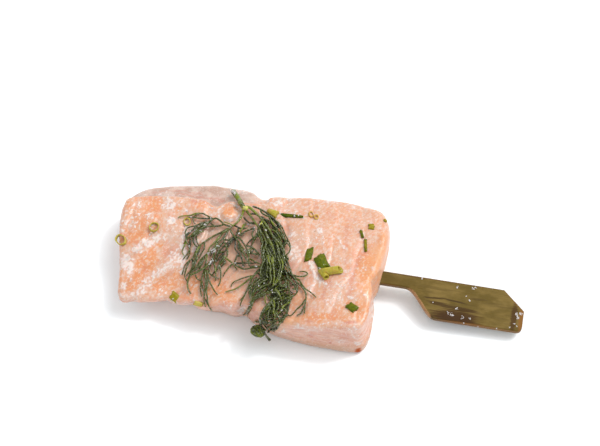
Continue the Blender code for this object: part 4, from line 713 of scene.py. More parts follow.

# White bits of salt and albumin on the dill and the handle, and painted highlights, drawn as the dill is (x,
# y, size)
FLECK_GROUPS = [
    ((170, 200), 20.9, [
        (790, 1110, 0.7), (850, 1050, 0.9), (905, 1030, 1.0), (935, 1065, 0.7), (880, 1100, 0.6),
        (860, 1300, 0.7), (830, 1335, 0.8), (890, 1260, 0.5), (650, 640, 0.6), (390, 960, 0.5),
        (1000, 955, 0.6), (1440, 690, 0.5), (1140, 430, 0.4), (1385, 130, 0.9), (1400, 165, 0.6),
        (360, 240, 0.6), (890, 160, 0.7), (60, 420, 0.9), (440, 360, 0.4)
    ]),
    ((235, 190), 20.9, [
        (270, 715, 0.6), (405, 780, 0.4), (-45, 20, 1.8), (-25, 45, 1.4), (0, 50, 0.9), (-60, 15, 1.4),
        (-50, 60, 1.0), (-15, 85, 0.8), (940, 480, 0.5), (1240, 540, 0.5), (1320, 525, 0.4), (1435, 580, 0.5)
    ]),
    ((235, 260), 18.45, [
        (675, 560, 0.5), (690, 600, 0.4), (440, 480, 0.5), (535, 430, 0.4), (260, 840, 0.5),
        (905, 1270, 0.5), (400, 115, 0.4), (860, 920, 0.5), (950, 500, 0.4), (1105, 600, 0.4)
    ]),
    ((375, 265), 9.8, [
        (463, 130, 0.5), (808, 215, 0.8), (960, 230, 0.7), (985, 225, 0.6), (893, 305, 0.5), (927, 347, 0.5),
        (568, 368, 0.5), (800, 433, 0.9), (720, 470, 0.9), (745, 485, 1.2), (765, 490, 0.7), (858, 518, 0.9),
        (930, 525, 0.8), (870, 570, 0.5), (1010, 605, 0.5), (1190, 628, 0.4), (1262, 655, 0.4),
        (1322, 608, 0.4), (1385, 480, 1.0), (1400, 510, 1.2), (1430, 480, 1.1), (1365, 575, 0.5),
        (1390, 600, 0.4)
    ]),
    ((300, 180), 9.0, [
        (290, 178, 1.2), (315, 184, 1.0), (335, 176, 0.9), (265, 180, 0.8), (355, 186, 0.7)
    ]),
    ((180, 208), 24.12, [
        (800, 1020, 1.1), (690, 1092, 0.8), (735, 1312, 0.8), (520, 560, 0.6), (600, 395, 0.6),
        (355, 545, 0.6), (895, 915, 0.7), (255, 562, 0.5), (745, 252, 0.5), (770, 1250, 0.6)
    ]),
    ((222, 218), 26.13, [
        (688, 160, 1.0), (440, 400, 0.7), (850, 250, 0.5), (990, 170, 0.6), (1150, 320, 0.5),
        (345, 1180, 0.5), (550, 1262, 0.5), (890, 1262, 0.5), (1195, 500, 0.4), (600, 840, 0.4),
        (60, 55, 0.6)
    ]),
    # These white lumps sit where glints show on the chives and the fish: painted highlights.
    ((140, 200), 10.0, [
        (105, 276, 0.4), (121, 254, 0.5), (329, 989, 0.4), (1400, 129, 0.4), (1543, 157, 0.4),
        (1584, 152, 0.4), (1735, 135, 0.5), (1799, 680, 0.5), (1892, 645, 0.4)
    ]),
]
# Millimetres of a drawn bit to each lump in it, and how far the lumps scatter for its size, in pixels
FLECK_SHARE = 0.11
FLECK_REACH = 0.8
FLECK_SIZES = (0.25, 0.5)
# The shape of a lump: how narrow, how ragged, how much of its height it loses, and how far up it sits
FLECK_STRETCH = (0.5, 1.0)
FLECK_RAGGED = (0.6, 1.15)
FLECK_FLATTEN = 0.4
FLECK_LIFT = 0.02
LOOSE_FLECKS = 150
LOOSE_SIZES = (0.12, 0.32)
LOOSE_REACH = (37.0, 20.0)
# Loose flecks lie only where the surface is this level
LOOSE_LEVEL = 0.7
# Rays straight down start here, above everything
SKY_Z = 60.0

# Camera: at the photo's angle, turned round the fish by the picture's own slant
PICTURE = (600, 446)
CAMERA_ELEVATION = math.radians(62.0)
CAMERA_AZIMUTH = math.radians(10.8)
CAMERA_DISTANCE = 556.0
CAMERA_LENS = 113.76
CAMERA_SENSOR = 36.0
CAMERA_AIM = (14.66, 16.26)
CAMERA_NEAR = 10.0
# Pixels to a unit of slope away from the middle of the picture
FOCUS = CAMERA_LENS / CAMERA_SENSOR * PICTURE[0]

# The light is this much stronger than the one that the colours are given for
BRIGHTNESS = 1.4
SKY_STRENGTH = 0.66
SUN_TOWARD = (0.55, 0.42, 1.0)
# Each sun's name, strength and spread in degrees
SUNS = (("window", 1.15, 38.0), ("glint", 0.45, 6.0))
FLOOR_SIDE = 3000.0
FLOOR_CLOUDS = 200.0
FLOOR_COLOURS = ((0.90, 0.935, 0.96, 1.0), (0.915, 0.95, 0.97, 1.0))


def smoothstep(low, high, value):
    """0 below low, 1 above high, and a smooth ramp between."""
    t = np.clip((value - low) / (high - low), 0.0, 1.0)
    return t * t * (3.0 - 2.0 * t)


def spline(points, steps, closed=False):
    """Points of any dimension joined by a Catmull-Rom curve, with this many steps to a span."""
    p = np.asarray(points, float)
    if closed:
        p = np.vstack([p[-1], p, p[0], p[1]])
    else:
        p = np.vstack([2 * p[0] - p[1], p, 2 * p[-1] - p[-2]])
    t = (np.arange(steps) / steps)[:, None]
    spans = []
    for a, b, c, d in zip(p, p[1:], p[2:], p[3:]):
        spans.append(0.5 * (2 * b + (c - a) * t + (2 * a - 5 * b + 4 * c - d) * t**2
                            + (3 * b - 3 * c + d - a) * t**3))
    return np.vstack(spans if closed else [*spans, p[-2][None]])


def lattice_noise(points, seed):
    """Smooth noise from -1 to 1 at points given in lattice steps."""
    table = np.random.default_rng(seed).uniform(-1.0, 1.0, (LATTICE, LATTICE, LATTICE))
    cell = np.floor(points).astype(int)
    t = points - cell
    t = t * t * (3.0 - 2.0 * t)
    total = np.zeros(len(points))
    for corner in np.ndindex(2, 2, 2):
        weight = np.prod(np.where(corner, t, 1.0 - t), axis=1)
        at = (cell + corner) % LATTICE
        total += weight * table[at[:, 0], at[:, 1], at[:, 2]]
    return total


def layered_noise(points, size, seed, layers=3):
    """Sum of noises, each half as large and half as strong as the one before, about -1 to 1."""
    total = np.zeros(len(points))
    for k in range(layers):
        total += 0.5**k * lattice_noise(points * (2.0**k) / size, seed + k)
    return total


def torn_outline():
    """The slab's outline as a closed polygon, with its notches."""
    ring = spline(OUTLINE, OUTLINE_STEPS, closed=True)
    along = np.roll(ring, -1, 0) - np.roll(ring, 1, 0)
    inward = np.stack([-along[:, 1], along[:, 0]], 1)
    inward /= np.linalg.norm(inward, axis=1)[:, None]
    for x, y, depth, half_width in NOTCHES:
        away = np.hypot(ring[:, 0] - x, ring[:, 1] - y)
        ring = ring + inward * (depth * np.exp(-((away / half_width) ** 2)))[:, None]
    return ring


def line_distance(xy, line, closed=False):
    """How far each point is from a line of points, and the direction away on the line's right side."""
    line = np.asarray(line, float)
    span = (np.roll(line, -1, 0) - line) if closed else np.diff(line, axis=0)
    best = np.full(len(xy), np.inf)
    outward = np.zeros_like(xy)
    for a, s in zip(line, span):
        t = np.clip(((xy - a) @ s) / (s @ s), 0.0, 1.0)
        gap = np.linalg.norm(xy - (a + t[:, None] * s), axis=1)
        closer = gap < best
        best[closer] = gap[closer]
        outward[closer] = np.array([s[1], -s[0]]) / np.linalg.norm(s)
    return best, outward


def corner_blend(x, y, front_left, front_right, back_left, back_right):
    """A value given at the four corners, blended over the slab."""
    u = smoothstep(-HALF_LENGTH, HALF_LENGTH, x)
    v = smoothstep(-HALF_WIDTH, HALF_WIDTH, y)
    return (1 - v) * ((1 - u) * front_left + u * front_right) + v * ((1 - u) * back_left + u * back_right)


def flake_place(x, y):
    """Where a point lies across the flakes, in pitches: whole numbers are on a seam."""
    lean = FLAKE_LEAN[0] + (FLAKE_LEAN[1] - FLAKE_LEAN[0]) * smoothstep(-30.0, 30.0, x)
    front = FLAKE_BEND_EASE * np.log1p(np.exp((FLAKE_FRONT_BEND["from"] - y) / FLAKE_BEND_EASE))
    back = FLAKE_BEND_EASE * np.log1p(np.exp((y - FLAKE_BACK_BEND["from"]) / FLAKE_BEND_EASE))
    shift = FLAKE_FRONT_BEND["slope"] * front + FLAKE_BACK_BEND["slope"] * back
    return (x + lean * shift - FLAKE_PHASE) / FLAKE_PITCH


def flake_relief(x, y):
    """Each flake rises towards the next seam and drops there, with a narrow groove in the seam."""
    place = flake_place(x, y) + FLAKE_WAVER * np.sin(0.45 * y + 0.2 * x)
    across = place % 1.0
    step = across * (1.0 - smoothstep(FLAKE_DROP_FROM, 1.0, across)) - 0.45
    depth = FLAKE_DEPTH + FLAKE_DEPTH_SWING * np.sin(1.7 * np.floor(place) + 0.13 * y)
    off_seam = np.abs((place + 0.5) % 1.0 - 0.5) * FLAKE_PITCH
    return depth * (FLAKE_STEP * step - FLAKE_GROOVE * np.exp(-((off_seam / FLAKE_GROOVE_WIDTH) ** 2)))


def swell(x, y):
    """Slow rises and dips of the cooked surface, about 1 either way."""
    waves = [np.sin(kx * x + ky * y + phase) for kx, ky, phase in SWELL_WAVES]
    return sum(waves) / (0.48 * len(waves))


def terrace(x, y):
    """1 on the low layer along the back left edge, 0 elsewhere."""
    edge_x, edge_y = np.array(TERRACE_EDGE).T
    edge = np.interp(x, edge_x, edge_y)
    end = 1.0 - smoothstep(TERRACE_RIGHT_END, TERRACE_RIGHT_END + TERRACE_END_EASE, x)
    return smoothstep(0.0, TERRACE_SLOPE, y - edge) * end


def top_height(x, y):
    """Height of the upper side before its rim is rounded."""
    z = corner_blend(x, y, **THICKNESS)
    z = z + CROWN * (1.0 - (y / CROWN_REACH) ** 2) * (1.0 - CROWN_END_LOSS * (x / HALF_LENGTH) ** 2)
    relief = flake_relief(x, y) * (1.0 - TERRACE_CALM * terrace(x, y))
    relief = relief * (1.0 - FLAKE_CALM_RIGHT["share"] * smoothstep(*FLAKE_CALM_RIGHT["x"], x))
    calm = smoothstep(*FLAKE_CALM_BACK_LEFT["y"], y) * (1.0 - smoothstep(*FLAKE_CALM_BACK_LEFT["x"], x))
    z = z + relief * (1.0 - FLAKE_CALM_BACK_LEFT["share"] * calm) + SWELL * swell(x, y)
    from_knob = np.hypot(x - KNOB["centre"][0], y - KNOB["centre"][1]) / KNOB["radius"]
    z = z + KNOB["height"] * (1.0 - smoothstep(KNOB["flat"], 1.0, from_knob))
    return z - TERRACE_DROP * terrace(x, y)


def shape_fish(points, ring):
    """Moves the points of a flat-topped block of the outline to the fish's own surface."""
    x, y = points[:, 0], points[:, 1]
    level = np.clip(points[:, 2] / BLOCK_HEIGHT, 0.0, 1.0)
    inside, outward = line_distance(points[:, :2], ring, closed=True)
    top = top_height(x, y)
    radius = corner_blend(x, y, **RIM_RADIUS)
    near = np.clip(1.0 - inside / radius, 0.0, 1.0)
    upper = top - radius * (1.0 - np.sqrt(1.0 - near**2))
    near = np.clip(1.0 - inside / FOOT_RADIUS, 0.0, 1.0)
    lower = FOOT_RADIUS * (1.0 - np.sqrt(1.0 - near**2))
    z = lower + level * (upper - lower)
    layers = np.sin(2.0 * math.pi * z / WALL_LAYERS["pitch"] + 0.35 * x)
    bulge = corner_blend(x, y, **WALL_BULGE)
    side = (bulge + WALL_LAYERS["depth"] * layers) * np.sin(math.pi * level)
    side = side + corner_blend(x, y, **LIP) * (1.0 - smoothstep(*LIP_LEVELS, level))
    shift = side * np.exp(-inside / WALL_DEPTH)
    lean = corner_blend(x, y, **FOOT_INSET) * (1.0 - level) ** FOOT_INSET_POWER
    u, v = x / HALF_LENGTH, y / HALF_WIDTH
    leaning = np.column_stack([u * np.abs(u), v * np.abs(v)]) * lean[:, None]
    return np.column_stack([points[:, :2] + outward * shift[:, None] - leaning, z])


def linear(red, green, blue):
    """A colour as a screen shows it under this light, 0 to 255, as linear values."""
    made = []
    for c in (red, green, blue):
        c /= 255.0
        made.append((c / 12.92 if c <= 0.04045 else ((c + 0.055) / 1.055) ** 2.4) / BRIGHTNESS)
    return (*made, 1.0)


class Nodes:
    """Adds shader nodes to one material and links them."""

    def __init__(self, name):
        self.material = bpy.data.materials.new(name)
        self.material.use_nodes = True
        self.tree = self.material.node_tree
        self.shader = self.tree.nodes["Principled BSDF"]

    def put(self, socket, value):
        """Links a socket's output or sets a plain value."""
        if isinstance(value, bpy.types.NodeSocket):
            self.tree.links.new(value, socket)
        else:
            socket.default_value = value

    def set(self, **inputs):
        """Sets the shader's own sockets, named with _ for each space."""
        for name, value in inputs.items():
            self.put(self.shader.inputs[name.replace("_", " ")], value)

    def place(self):
        """Position on the object, in millimetres."""
        where = self.tree.nodes.new("ShaderNodeTexCoord").outputs["Object"]
        scale = self.tree.nodes.new("ShaderNodeVectorMath")
        scale.operation = "SCALE"
        scale.inputs["Scale"].default_value = 1.0 / MM
        self.put(scale.inputs[0], where)
        return scale.outputs[0]

    def attribute(self, name):
        """What is kept at each point under this name."""
        node = self.tree.nodes.new("ShaderNodeAttribute")
        node.attribute_name = name
        return node.outputs["Fac"]

    def stretched(self, vector, scale, rotation=(0.0, 0.0, 0.0), location=(0.0, 0.0, 0.0), kind="POINT"):
        """A vector scaled, turned and moved; kind TEXTURE does the reverse."""
        node = self.tree.nodes.new("ShaderNodeMapping")
        node.vector_type = kind
        node.inputs["Scale"].default_value = scale
        node.inputs["Rotation"].default_value = rotation
        node.inputs["Location"].default_value = location
        self.put(node.inputs["Vector"], vector)
        return node.outputs[0]

    def noise(self, vector, size, detail=3.0, roughness=0.55, distortion=0.0):
        """Noise from 0 to 1 whose largest lumps have this size."""
        node = self.tree.nodes.new("ShaderNodeTexNoise")
        node.inputs["Scale"].default_value = 1.0 / size
        node.inputs["Detail"].default_value = detail
        node.inputs["Roughness"].default_value = roughness
        node.inputs["Distortion"].default_value = distortion
        self.put(node.inputs["Vector"], vector)
        return node.outputs["Fac"]

    def ramp(self, value, low, high, out_low=0.0, out_high=1.0):
        """A smooth step of a value from low to high."""
        node = self.tree.nodes.new("ShaderNodeMapRange")
        node.interpolation_type = "SMOOTHSTEP"
        node.inputs["From Min"].default_value = low
        node.inputs["From Max"].default_value = high
        node.inputs["To Min"].default_value = out_low
        node.inputs["To Max"].default_value = out_high
        self.put(node.inputs["Value"], value)
        return node.outputs[0]

    def math(self, operation, a, b, clamp=False):
        """One step of arithmetic on two values."""
        node = self.tree.nodes.new("ShaderNodeMath")
        node.operation = operation
        node.use_clamp = clamp
        self.put(node.inputs[0], a)
        self.put(node.inputs[1], b)
        return node.outputs[0]

    def plus(self, a, b):
        """The sum of two values."""
        return self.math("ADD", a, b)

    def times(self, a, b):
        """The product of two values."""
        return self.math("MULTIPLY", a, b)

    def mix(self, share, a, b):
        """Colour a with this share of colour b."""
        node = self.tree.nodes.new("ShaderNodeMix")
        node.data_type = "RGBA"
        self.put(node.inputs["Factor"], share)
        self.put(node.inputs[6], a)
        self.put(node.inputs[7], b)
        return node.outputs[2]

    def by_tone(self, tone, steps):
        """A colour that goes smoothly from step to step of a tone: (tone, colour)."""
        (low, tint), *rest = steps
        base = linear(*tint)
        for high, tint in rest:
            base = self.mix(self.ramp(tone, low, high), base, linear(*tint))
            low = high
        return base

    def away(self, vector):
        """How far a vector reaches from its origin."""
        node = self.tree.nodes.new("ShaderNodeVectorMath")
        node.operation = "LENGTH"
        self.put(node.inputs[0], vector)
        return node.outputs["Value"]

    def bump(self, height, distance):
        """Fine relief this deep for a height from 0 to 1."""
        node = self.tree.nodes.new("ShaderNodeBump")
        node.inputs["Distance"].default_value = distance * MM
        node.inputs["Strength"].default_value = 1.0
        self.put(node.inputs["Height"], height)
        return node.outputs[0]


def joined(pieces):
    """The points and faces of several pieces as one list each."""
    points, faces = [], []
    for some_points, some_faces in pieces:
        base = len(points)
        points += [tuple(point) for point in some_points]
        faces += [tuple(base + k for k in face) for face in some_faces]
    return points, faces


def mesh_object(name, points, faces, made_of):
    """A smooth mesh object from points in millimetres."""
    mesh = bpy.data.meshes.new(name)
    mesh.from_pydata((np.asarray(points, float) * MM).tolist(), [], [list(f) for f in faces])
    mesh.update()
    mesh.shade_smooth()
    obj = bpy.data.objects.new(name, mesh)
    bpy.context.scene.collection.objects.link(obj)
    mesh.materials.append(made_of)
    return obj


def store(obj, name, values):
    """Keeps one value for each point of a mesh."""
    attribute = obj.data.attributes.new(name, "FLOAT", "POINT")
    attribute.data.foreach_set("value", np.asarray(values, np.float32))


def points_of(obj):
    """The mesh's points in millimetres."""
    flat = np.empty(len(obj.data.vertices) * 3)
    obj.data.vertices.foreach_get("co", flat)
    return flat.reshape(-1, 3) / MM


def normals_of(obj):
    """The direction out of the mesh at each of its points."""
    flat = np.empty(len(obj.data.vertices) * 3)
    obj.data.vertex_normals.foreach_get("vector", flat)
    return flat.reshape(-1, 3)


def move_points(obj, points):
    """Puts the mesh's points at these places, in millimetres."""
    obj.data.vertices.foreach_set("co", (points * MM).ravel())
    obj.data.update()


def apply_modifiers(obj):
    """Replaces an object's mesh by what its modifiers make of it."""
    graph = bpy.context.evaluated_depsgraph_get()
    graph.update()
    mesh = bpy.data.meshes.new_from_object(obj.evaluated_get(graph))
    old = obj.data
    obj.modifiers.clear()
    obj.data = mesh
    mesh.name = obj.name
    bpy.data.meshes.remove(old)


def fish_block():
    """A flat-topped block of the outline, meshed evenly, and the outline."""
    ring = torn_outline()
    bm = bmesh.new()
    face = bm.faces.new([bm.verts.new((x * MM, y * MM, 0.0)) for x, y in ring])
    raised = bmesh.ops.extrude_face_region(bm, geom=[face])["geom"]
    bmesh.ops.translate(bm, verts=[v for v in raised if isinstance(v, bmesh.types.BMVert)],
                        vec=(0.0, 0.0, BLOCK_HEIGHT * MM))
    bmesh.ops.recalc_face_normals(bm, faces=bm.faces)
    mesh = bpy.data.meshes.new("salmon_flesh")
    bm.to_mesh(mesh)
    bm.free()
    fish = bpy.data.objects.new("salmon_flesh", mesh)
    bpy.context.scene.collection.objects.link(fish)
    even = fish.modifiers.new("even", "REMESH")
    even.mode = "VOXEL"
    even.voxel_size = FISH_VOXEL * MM
    apply_modifiers(fish)
    return fish, ring


def seen_at(points):
    """Where points are in the picture, in pixels."""
    right, up, back, eye = (np.array(v) for v in camera_axes())
    away = points - eye
    ahead = -(away @ back)
    return np.column_stack([PICTURE[0] / 2 + FOCUS * (away @ right) / ahead,
                            PICTURE[1] / 2 - FOCUS * (away @ up) / ahead])


def drawn_share(kind, places):
    """How strongly one kind of mark, drawn in the picture, shows at each place in it."""
    total = np.zeros(len(places))
    for corner, zoom, spots in FLESH_SPOTS.get(kind, ()):
        local = (places - corner) * zoom
        for x, y, reach_x, reach_y, strength in spots:
            away = np.hypot((local[:, 0] - x) / reach_x, (local[:, 1] - y) / reach_y)
            total = np.maximum(total, strength * (1.0 - smoothstep(*SPOT_FADE, away)))
    for corner, zoom, lines in FLESH_LINES.get(kind, ()):
        local = (places - corner) * zoom
        for half, strength, *path in lines:
            off, _ = line_distance(local, spline(path, 4))
            total = np.maximum(total, strength * (1.0 - smoothstep(*LINE_FADE, off / half)))
    return total


def cover_share(threads, places):
    """How thickly threads lie over each place in the picture: 0 where there are none, 1 where many are."""
    laid = np.vstack([seen_at(resampled(path, COVER_STEP)) for path, _, _ in threads])
    edges = [np.arange(size + 1) for size in PICTURE]
    counts = np.histogram2d(laid[:, 0], laid[:, 1], bins=edges)[0]
    for _ in range(COVER_BLURS):
        for axis in (0, 1):
            counts = 0.25 * np.roll(counts, 1, axis) + 0.5 * counts + 0.25 * np.roll(counts, -1, axis)
    cells = np.clip(places.astype(int), 0, np.array(PICTURE) - 1)
    return np.clip(counts[cells[:, 0], cells[:, 1]] / COVER_FULL, 0.0, 1.0)


def salmon_flesh(made_of):
    """The slab at full detail, with what its colours need kept at each point."""
    fish, ring = fish_block()
    block = points_of(fish)
    level = np.clip(block[:, 2] / BLOCK_HEIGHT, 0.0, 1.0)
    shaped = shape_fish(block, ring)
    move_points(fish, shaped)
    normal = normals_of(fish)
    x, y = shaped[:, 0], shaped[:, 1]
    grain = np.column_stack([flake_place(x, y) * FLAKE_PITCH, GRAIN_STRETCH * y, shaped[:, 2]])
    pull = np.column_stack([layered_noise(shaped, WANDER_SIZE, seed, 2) for seed in WANDER_SEEDS])
    places = seen_at(shaped) + MARK_WANDER * pull
    shares = {kind: drawn_share(kind, places) for kind in FLESH_SPOTS}
    top = smoothstep(*TOP_LEVELS, normal[:, 2])
    relief = RELIEF["fibres"] * layered_noise(grain, *FIBRES)
    relief = relief + RELIEF["lumps"] * layered_noise(shaped, *LUMPS)
    relief = relief + shares["white"] * (RELIEF["white"] + RELIEF["crumbs"] * layered_noise(shaped, *CRUMBS))
    relief = relief - RELIEF["pink"] * shares["pink"]
    rise = relief * (1.0 - smoothstep(*UNDER_LEVELS, -normal[:, 2]))
    shaped = shaped + normal * rise[:, None]
    shaped[:, 2] = np.where(shaped[:, 2] < FLAT_BELOW, 0.0, shaped[:, 2])
    move_points(fish, shaped)
    for kind, share in shares.items():
        store(fish, kind, share)
    store(fish, "strip", terrace(x, y) * (1.0 - smoothstep(*STRIP_END, x)))
    store(fish, "wall", 1.0 - top)
    lip = corner_blend(x, y, **LIP) / LIP["front_right"] * (1.0 - smoothstep(*LIP_LEVELS, level))
    store(fish, "lip", lip * (1.0 - top))
    fish.data.materials.clear()
    fish.data.materials.append(made_of)
    fish.data.shade_smooth()
    return fish


def flesh_material():
    """Cooked salmon: peach with orange, white flecks, moist all over; tan and darker under the dill, painted
    shade that is partly wet flesh.
    """
    m = Nodes("cooked_salmon")
    where = m.place()
    wall = m.attribute("wall")
    strip = m.attribute("strip")
    cloud = m.noise(where, 3.2, 4.0, 0.6)
    mottle = m.noise(where, 1.1, 4.0, 0.6)
    along = m.stretched(where, (1.35, 1.0, 1.0), (0.0, 0.0, FLECK_HEADING), kind="TEXTURE")
    fine = m.noise(along, 0.7, 3.0, 0.62)
    fibre = m.noise(m.stretched(where, (0.35, 0.35, 1.6)), 1.0, 3.0, 0.6, 0.6)

    base = m.mix(m.ramp(mottle, 0.3, 0.7), linear(235, 195, 170), linear(233, 174, 140))
    base = m.mix(m.ramp(cloud, 0.42, 0.7, 0.0, 0.45), base, linear(238, 172, 130))
    orange = m.math("ADD", m.attribute("orange"), m.ramp(mottle, 0.25, 0.75, -0.28, 0.22), clamp=True)
    warm = m.mix(m.ramp(fine, 0.35, 0.65), linear(236, 147, 88), linear(240, 169, 112))
    base = m.mix(m.ramp(orange, 0.05, 0.85, 0.0, 0.92), base, warm)
    tan = m.attribute("tan")
    amber = m.attribute("amber")
    # Tan: painted shade under the dill, partly wet flesh.
    base = m.mix(m.times(tan, 0.8), base,
                 m.mix(m.ramp(mottle, 0.3, 0.7), linear(206, 158, 130), linear(224, 182, 152)))
    smooth = m.plus(m.times(tan, 1.2), m.times(amber, 0.7))
    grainy = m.math("SUBTRACT", 1.0, smooth, clamp=True)
    dapple = m.noise(along, 0.7, 2.0, 0.5)
    base = m.mix(m.times(m.ramp(dapple, 0.38, 0.46, 0.5, 0.0), grainy), base, linear(237, 156, 108))
    base = m.mix(m.times(m.ramp(dapple, 0.54, 0.61, 0.0, 0.45), grainy), base, linear(244, 218, 206))
    veins = m.noise(m.stretched(where, (1.0, 0.4, 1.0)), 1.7, 2.0, 0.5, 0.5)
    base = m.mix(m.ramp(veins, 0.56, 0.66, 0.0, 0.3), base, linear(228, 150, 126))
    side = m.mix(m.ramp(fibre, 0.35, 0.65), linear(228, 164, 140), linear(248, 202, 180))
    base = m.mix(m.times(wall, 0.85), base, side)
    warm_rim = m.mix(m.ramp(mottle, 0.3, 0.7), linear(243, 164, 102), linear(244, 184, 138))
    base = m.mix(m.times(amber, 0.8), base, warm_rim)
    grey = m.mix(m.ramp(fibre, 0.35, 0.65), linear(196, 160, 144), linear(224, 198, 184))
    base = m.mix(m.times(strip, 0.9), base, grey)
    base = m.mix(m.times(m.attribute("pink"), 0.75), base, linear(214, 128, 104))
    lip = m.times(m.attribute("lip"), m.ramp(mottle, 0.3, 0.6, 0.45, 0.95))
    base = m.mix(lip, base, linear(210, 161, 128))

    share = m.attribute("white")
    base = m.mix(m.times(share, 0.5), base, linear(242, 214, 202))
    level = m.plus(m.times(fine, 0.7), m.times(mottle, 0.3))
    level = m.plus(level, m.times(share, 0.2))
    white = m.ramp(level, 0.595, 0.675)
    grains = m.ramp(m.noise(where, 0.42, 2.0, 0.5), 0.60, 0.68)
    white = m.math("MAXIMUM", white, m.times(grains, 0.55))
    white = m.times(white, m.ramp(grainy, 0.0, 1.0, 0.4, 1.0))
    base = m.mix(m.times(white, 0.85), base, linear(250, 236, 229))
    base = m.mix(m.times(m.attribute("speck"), 0.9), base, linear(112, 92, 34))
    rust = m.attribute("rust")
    base = m.mix(rust, base, linear(188, 82, 0))
    covered = m.attribute("covered")
    # Under the threads the flesh goes darker and browner: painted shade of the dill, partly wet flesh; where
    # they lie thickest it turns near black, painted shade in the gaps.
    wet_and_shaded = m.mix(mottle, linear(210, 140, 70), linear(230, 176, 112))
    base = m.mix(m.ramp(covered, 0.08, 0.5, 0.0, 0.8), base, wet_and_shaded)
    base = m.mix(m.ramp(covered, 0.5, 1.0, 0.0, 0.9), base, linear(58, 40, 10))

    height = m.plus(m.times(white, 0.45), m.times(mottle, 0.6))
    height = m.plus(height, m.times(fine, 0.4))
    height = m.plus(height, m.times(m.times(fibre, wall), 1.2))
    m.set(Base_Color=base, Roughness=m.ramp(white, 0.0, 1.0, 0.36, 0.55), Subsurface_Weight=0.22,
          Subsurface_Radius=(1.0, 0.4, 0.25), Subsurface_Scale=0.7 * MM, Coat_Roughness=0.18,
          Coat_Weight=m.ramp(rust, 0.0, 0.8, 0.25, 0.0), Normal=m.bump(height, 0.12),
          Specular_IOR_Level=m.ramp(rust, 0.0, 0.8, 0.5, 0.05))
    return m.material


def bamboo_material():
    """Wet bamboo: greenish tan with darker streaks along it and orange-brown ends and edges."""
    m = Nodes("bamboo")
    local = m.stretched(m.place(), (1.0, 1.0, 1.0), (SKEWER_ROLL, SKEWER_DIP, SKEWER_TURN), SKEWER_AT,
                        "TEXTURE")
    streaks = m.noise(m.stretched(local, (0.09, 1.3, 1.3)), 1.0, 4.0, 0.6)
    cloud = m.noise(m.stretched(local, (0.5, 0.9, 1.0)), 3.2, 3.0, 0.6)
    fibre = m.noise(m.stretched(local, (0.12, 5.0, 5.0)), 1.0, 2.0)
    base = m.mix(m.ramp(cloud, 0.35, 0.65), linear(108, 88, 30), linear(138, 114, 56))
    base = m.mix(m.ramp(streaks, 0.52, 0.7, 0.0, 0.6), base, linear(96, 76, 28))
    base = m.mix(m.ramp(fibre, 0.4, 0.9, 0.0, 0.35), base, linear(100, 82, 34))
    for path, half, strength, tint in BAMBOO_MARKS:
        for (x0, y0), (x1, y1) in zip(path, path[1:]):
            middle = ((x0 + x1) / 2, (y0 + y1) / 2, 0.0)
            reach = (MARK_OVERLAP * math.hypot(x1 - x0, y1 - y0) / 2, half, MARK_DEPTH)
            turn = (0.0, 0.0, math.atan2(y1 - y0, x1 - x0))
            inside = m.away(m.stretched(local, reach, turn, middle, "TEXTURE"))
            torn = m.plus(inside, m.ramp(fibre, 0.2, 0.8, -0.35, 0.35))
            base = m.mix(m.ramp(torn, 0.6, 1.2, strength, 0.0), base, linear(*tint))
    m.set(Base_Color=base, Roughness=0.42, Specular_IOR_Level=0.14, Normal=m.bump(fibre, 0.12))
    return m.material


def camera_axes():
    """The camera's right, up and back directions, and where it stands, in millimetres."""
    right = Vector((math.cos(CAMERA_AZIMUTH), math.sin(CAMERA_AZIMUTH), 0.0))
    ahead = Vector((-math.sin(CAMERA_AZIMUTH), math.cos(CAMERA_AZIMUTH), 0.0))
    back = -ahead * math.cos(CAMERA_ELEVATION) + Vector((0.0, 0.0, math.sin(CAMERA_ELEVATION)))
    place = right * CAMERA_AIM[0] + ahead * CAMERA_AIM[1] + back * CAMERA_DISTANCE
    return right, back.cross(right), back, place


def set_camera():
    """Looks down on the fish at the photo's angle, with the handle to the right."""
    right, up, back, place = camera_axes()
    data = bpy.data.cameras.new("camera")
    data.lens = CAMERA_LENS
    data.sensor_width = CAMERA_SENSOR
    data.clip_start = CAMERA_NEAR * MM
    camera = bpy.data.objects.new("camera", data)
    camera.matrix_world = Matrix.Translation(place * MM) @ Matrix((right, up, back)).transposed().to_4x4()
    bpy.context.scene.collection.objects.link(camera)
    bpy.context.scene.camera = camera


def tree_of(objects):
    """A search tree over the faces of some objects, in millimetres."""
    points, faces = [], []
    for obj in objects:
        base = len(points)
        points += [obj.matrix_world @ v.co / MM for v in obj.data.vertices]
        faces += [[base + k for k in p.vertices] for p in obj.data.polygons]
    return BVHTree.FromPolygons(points, faces)


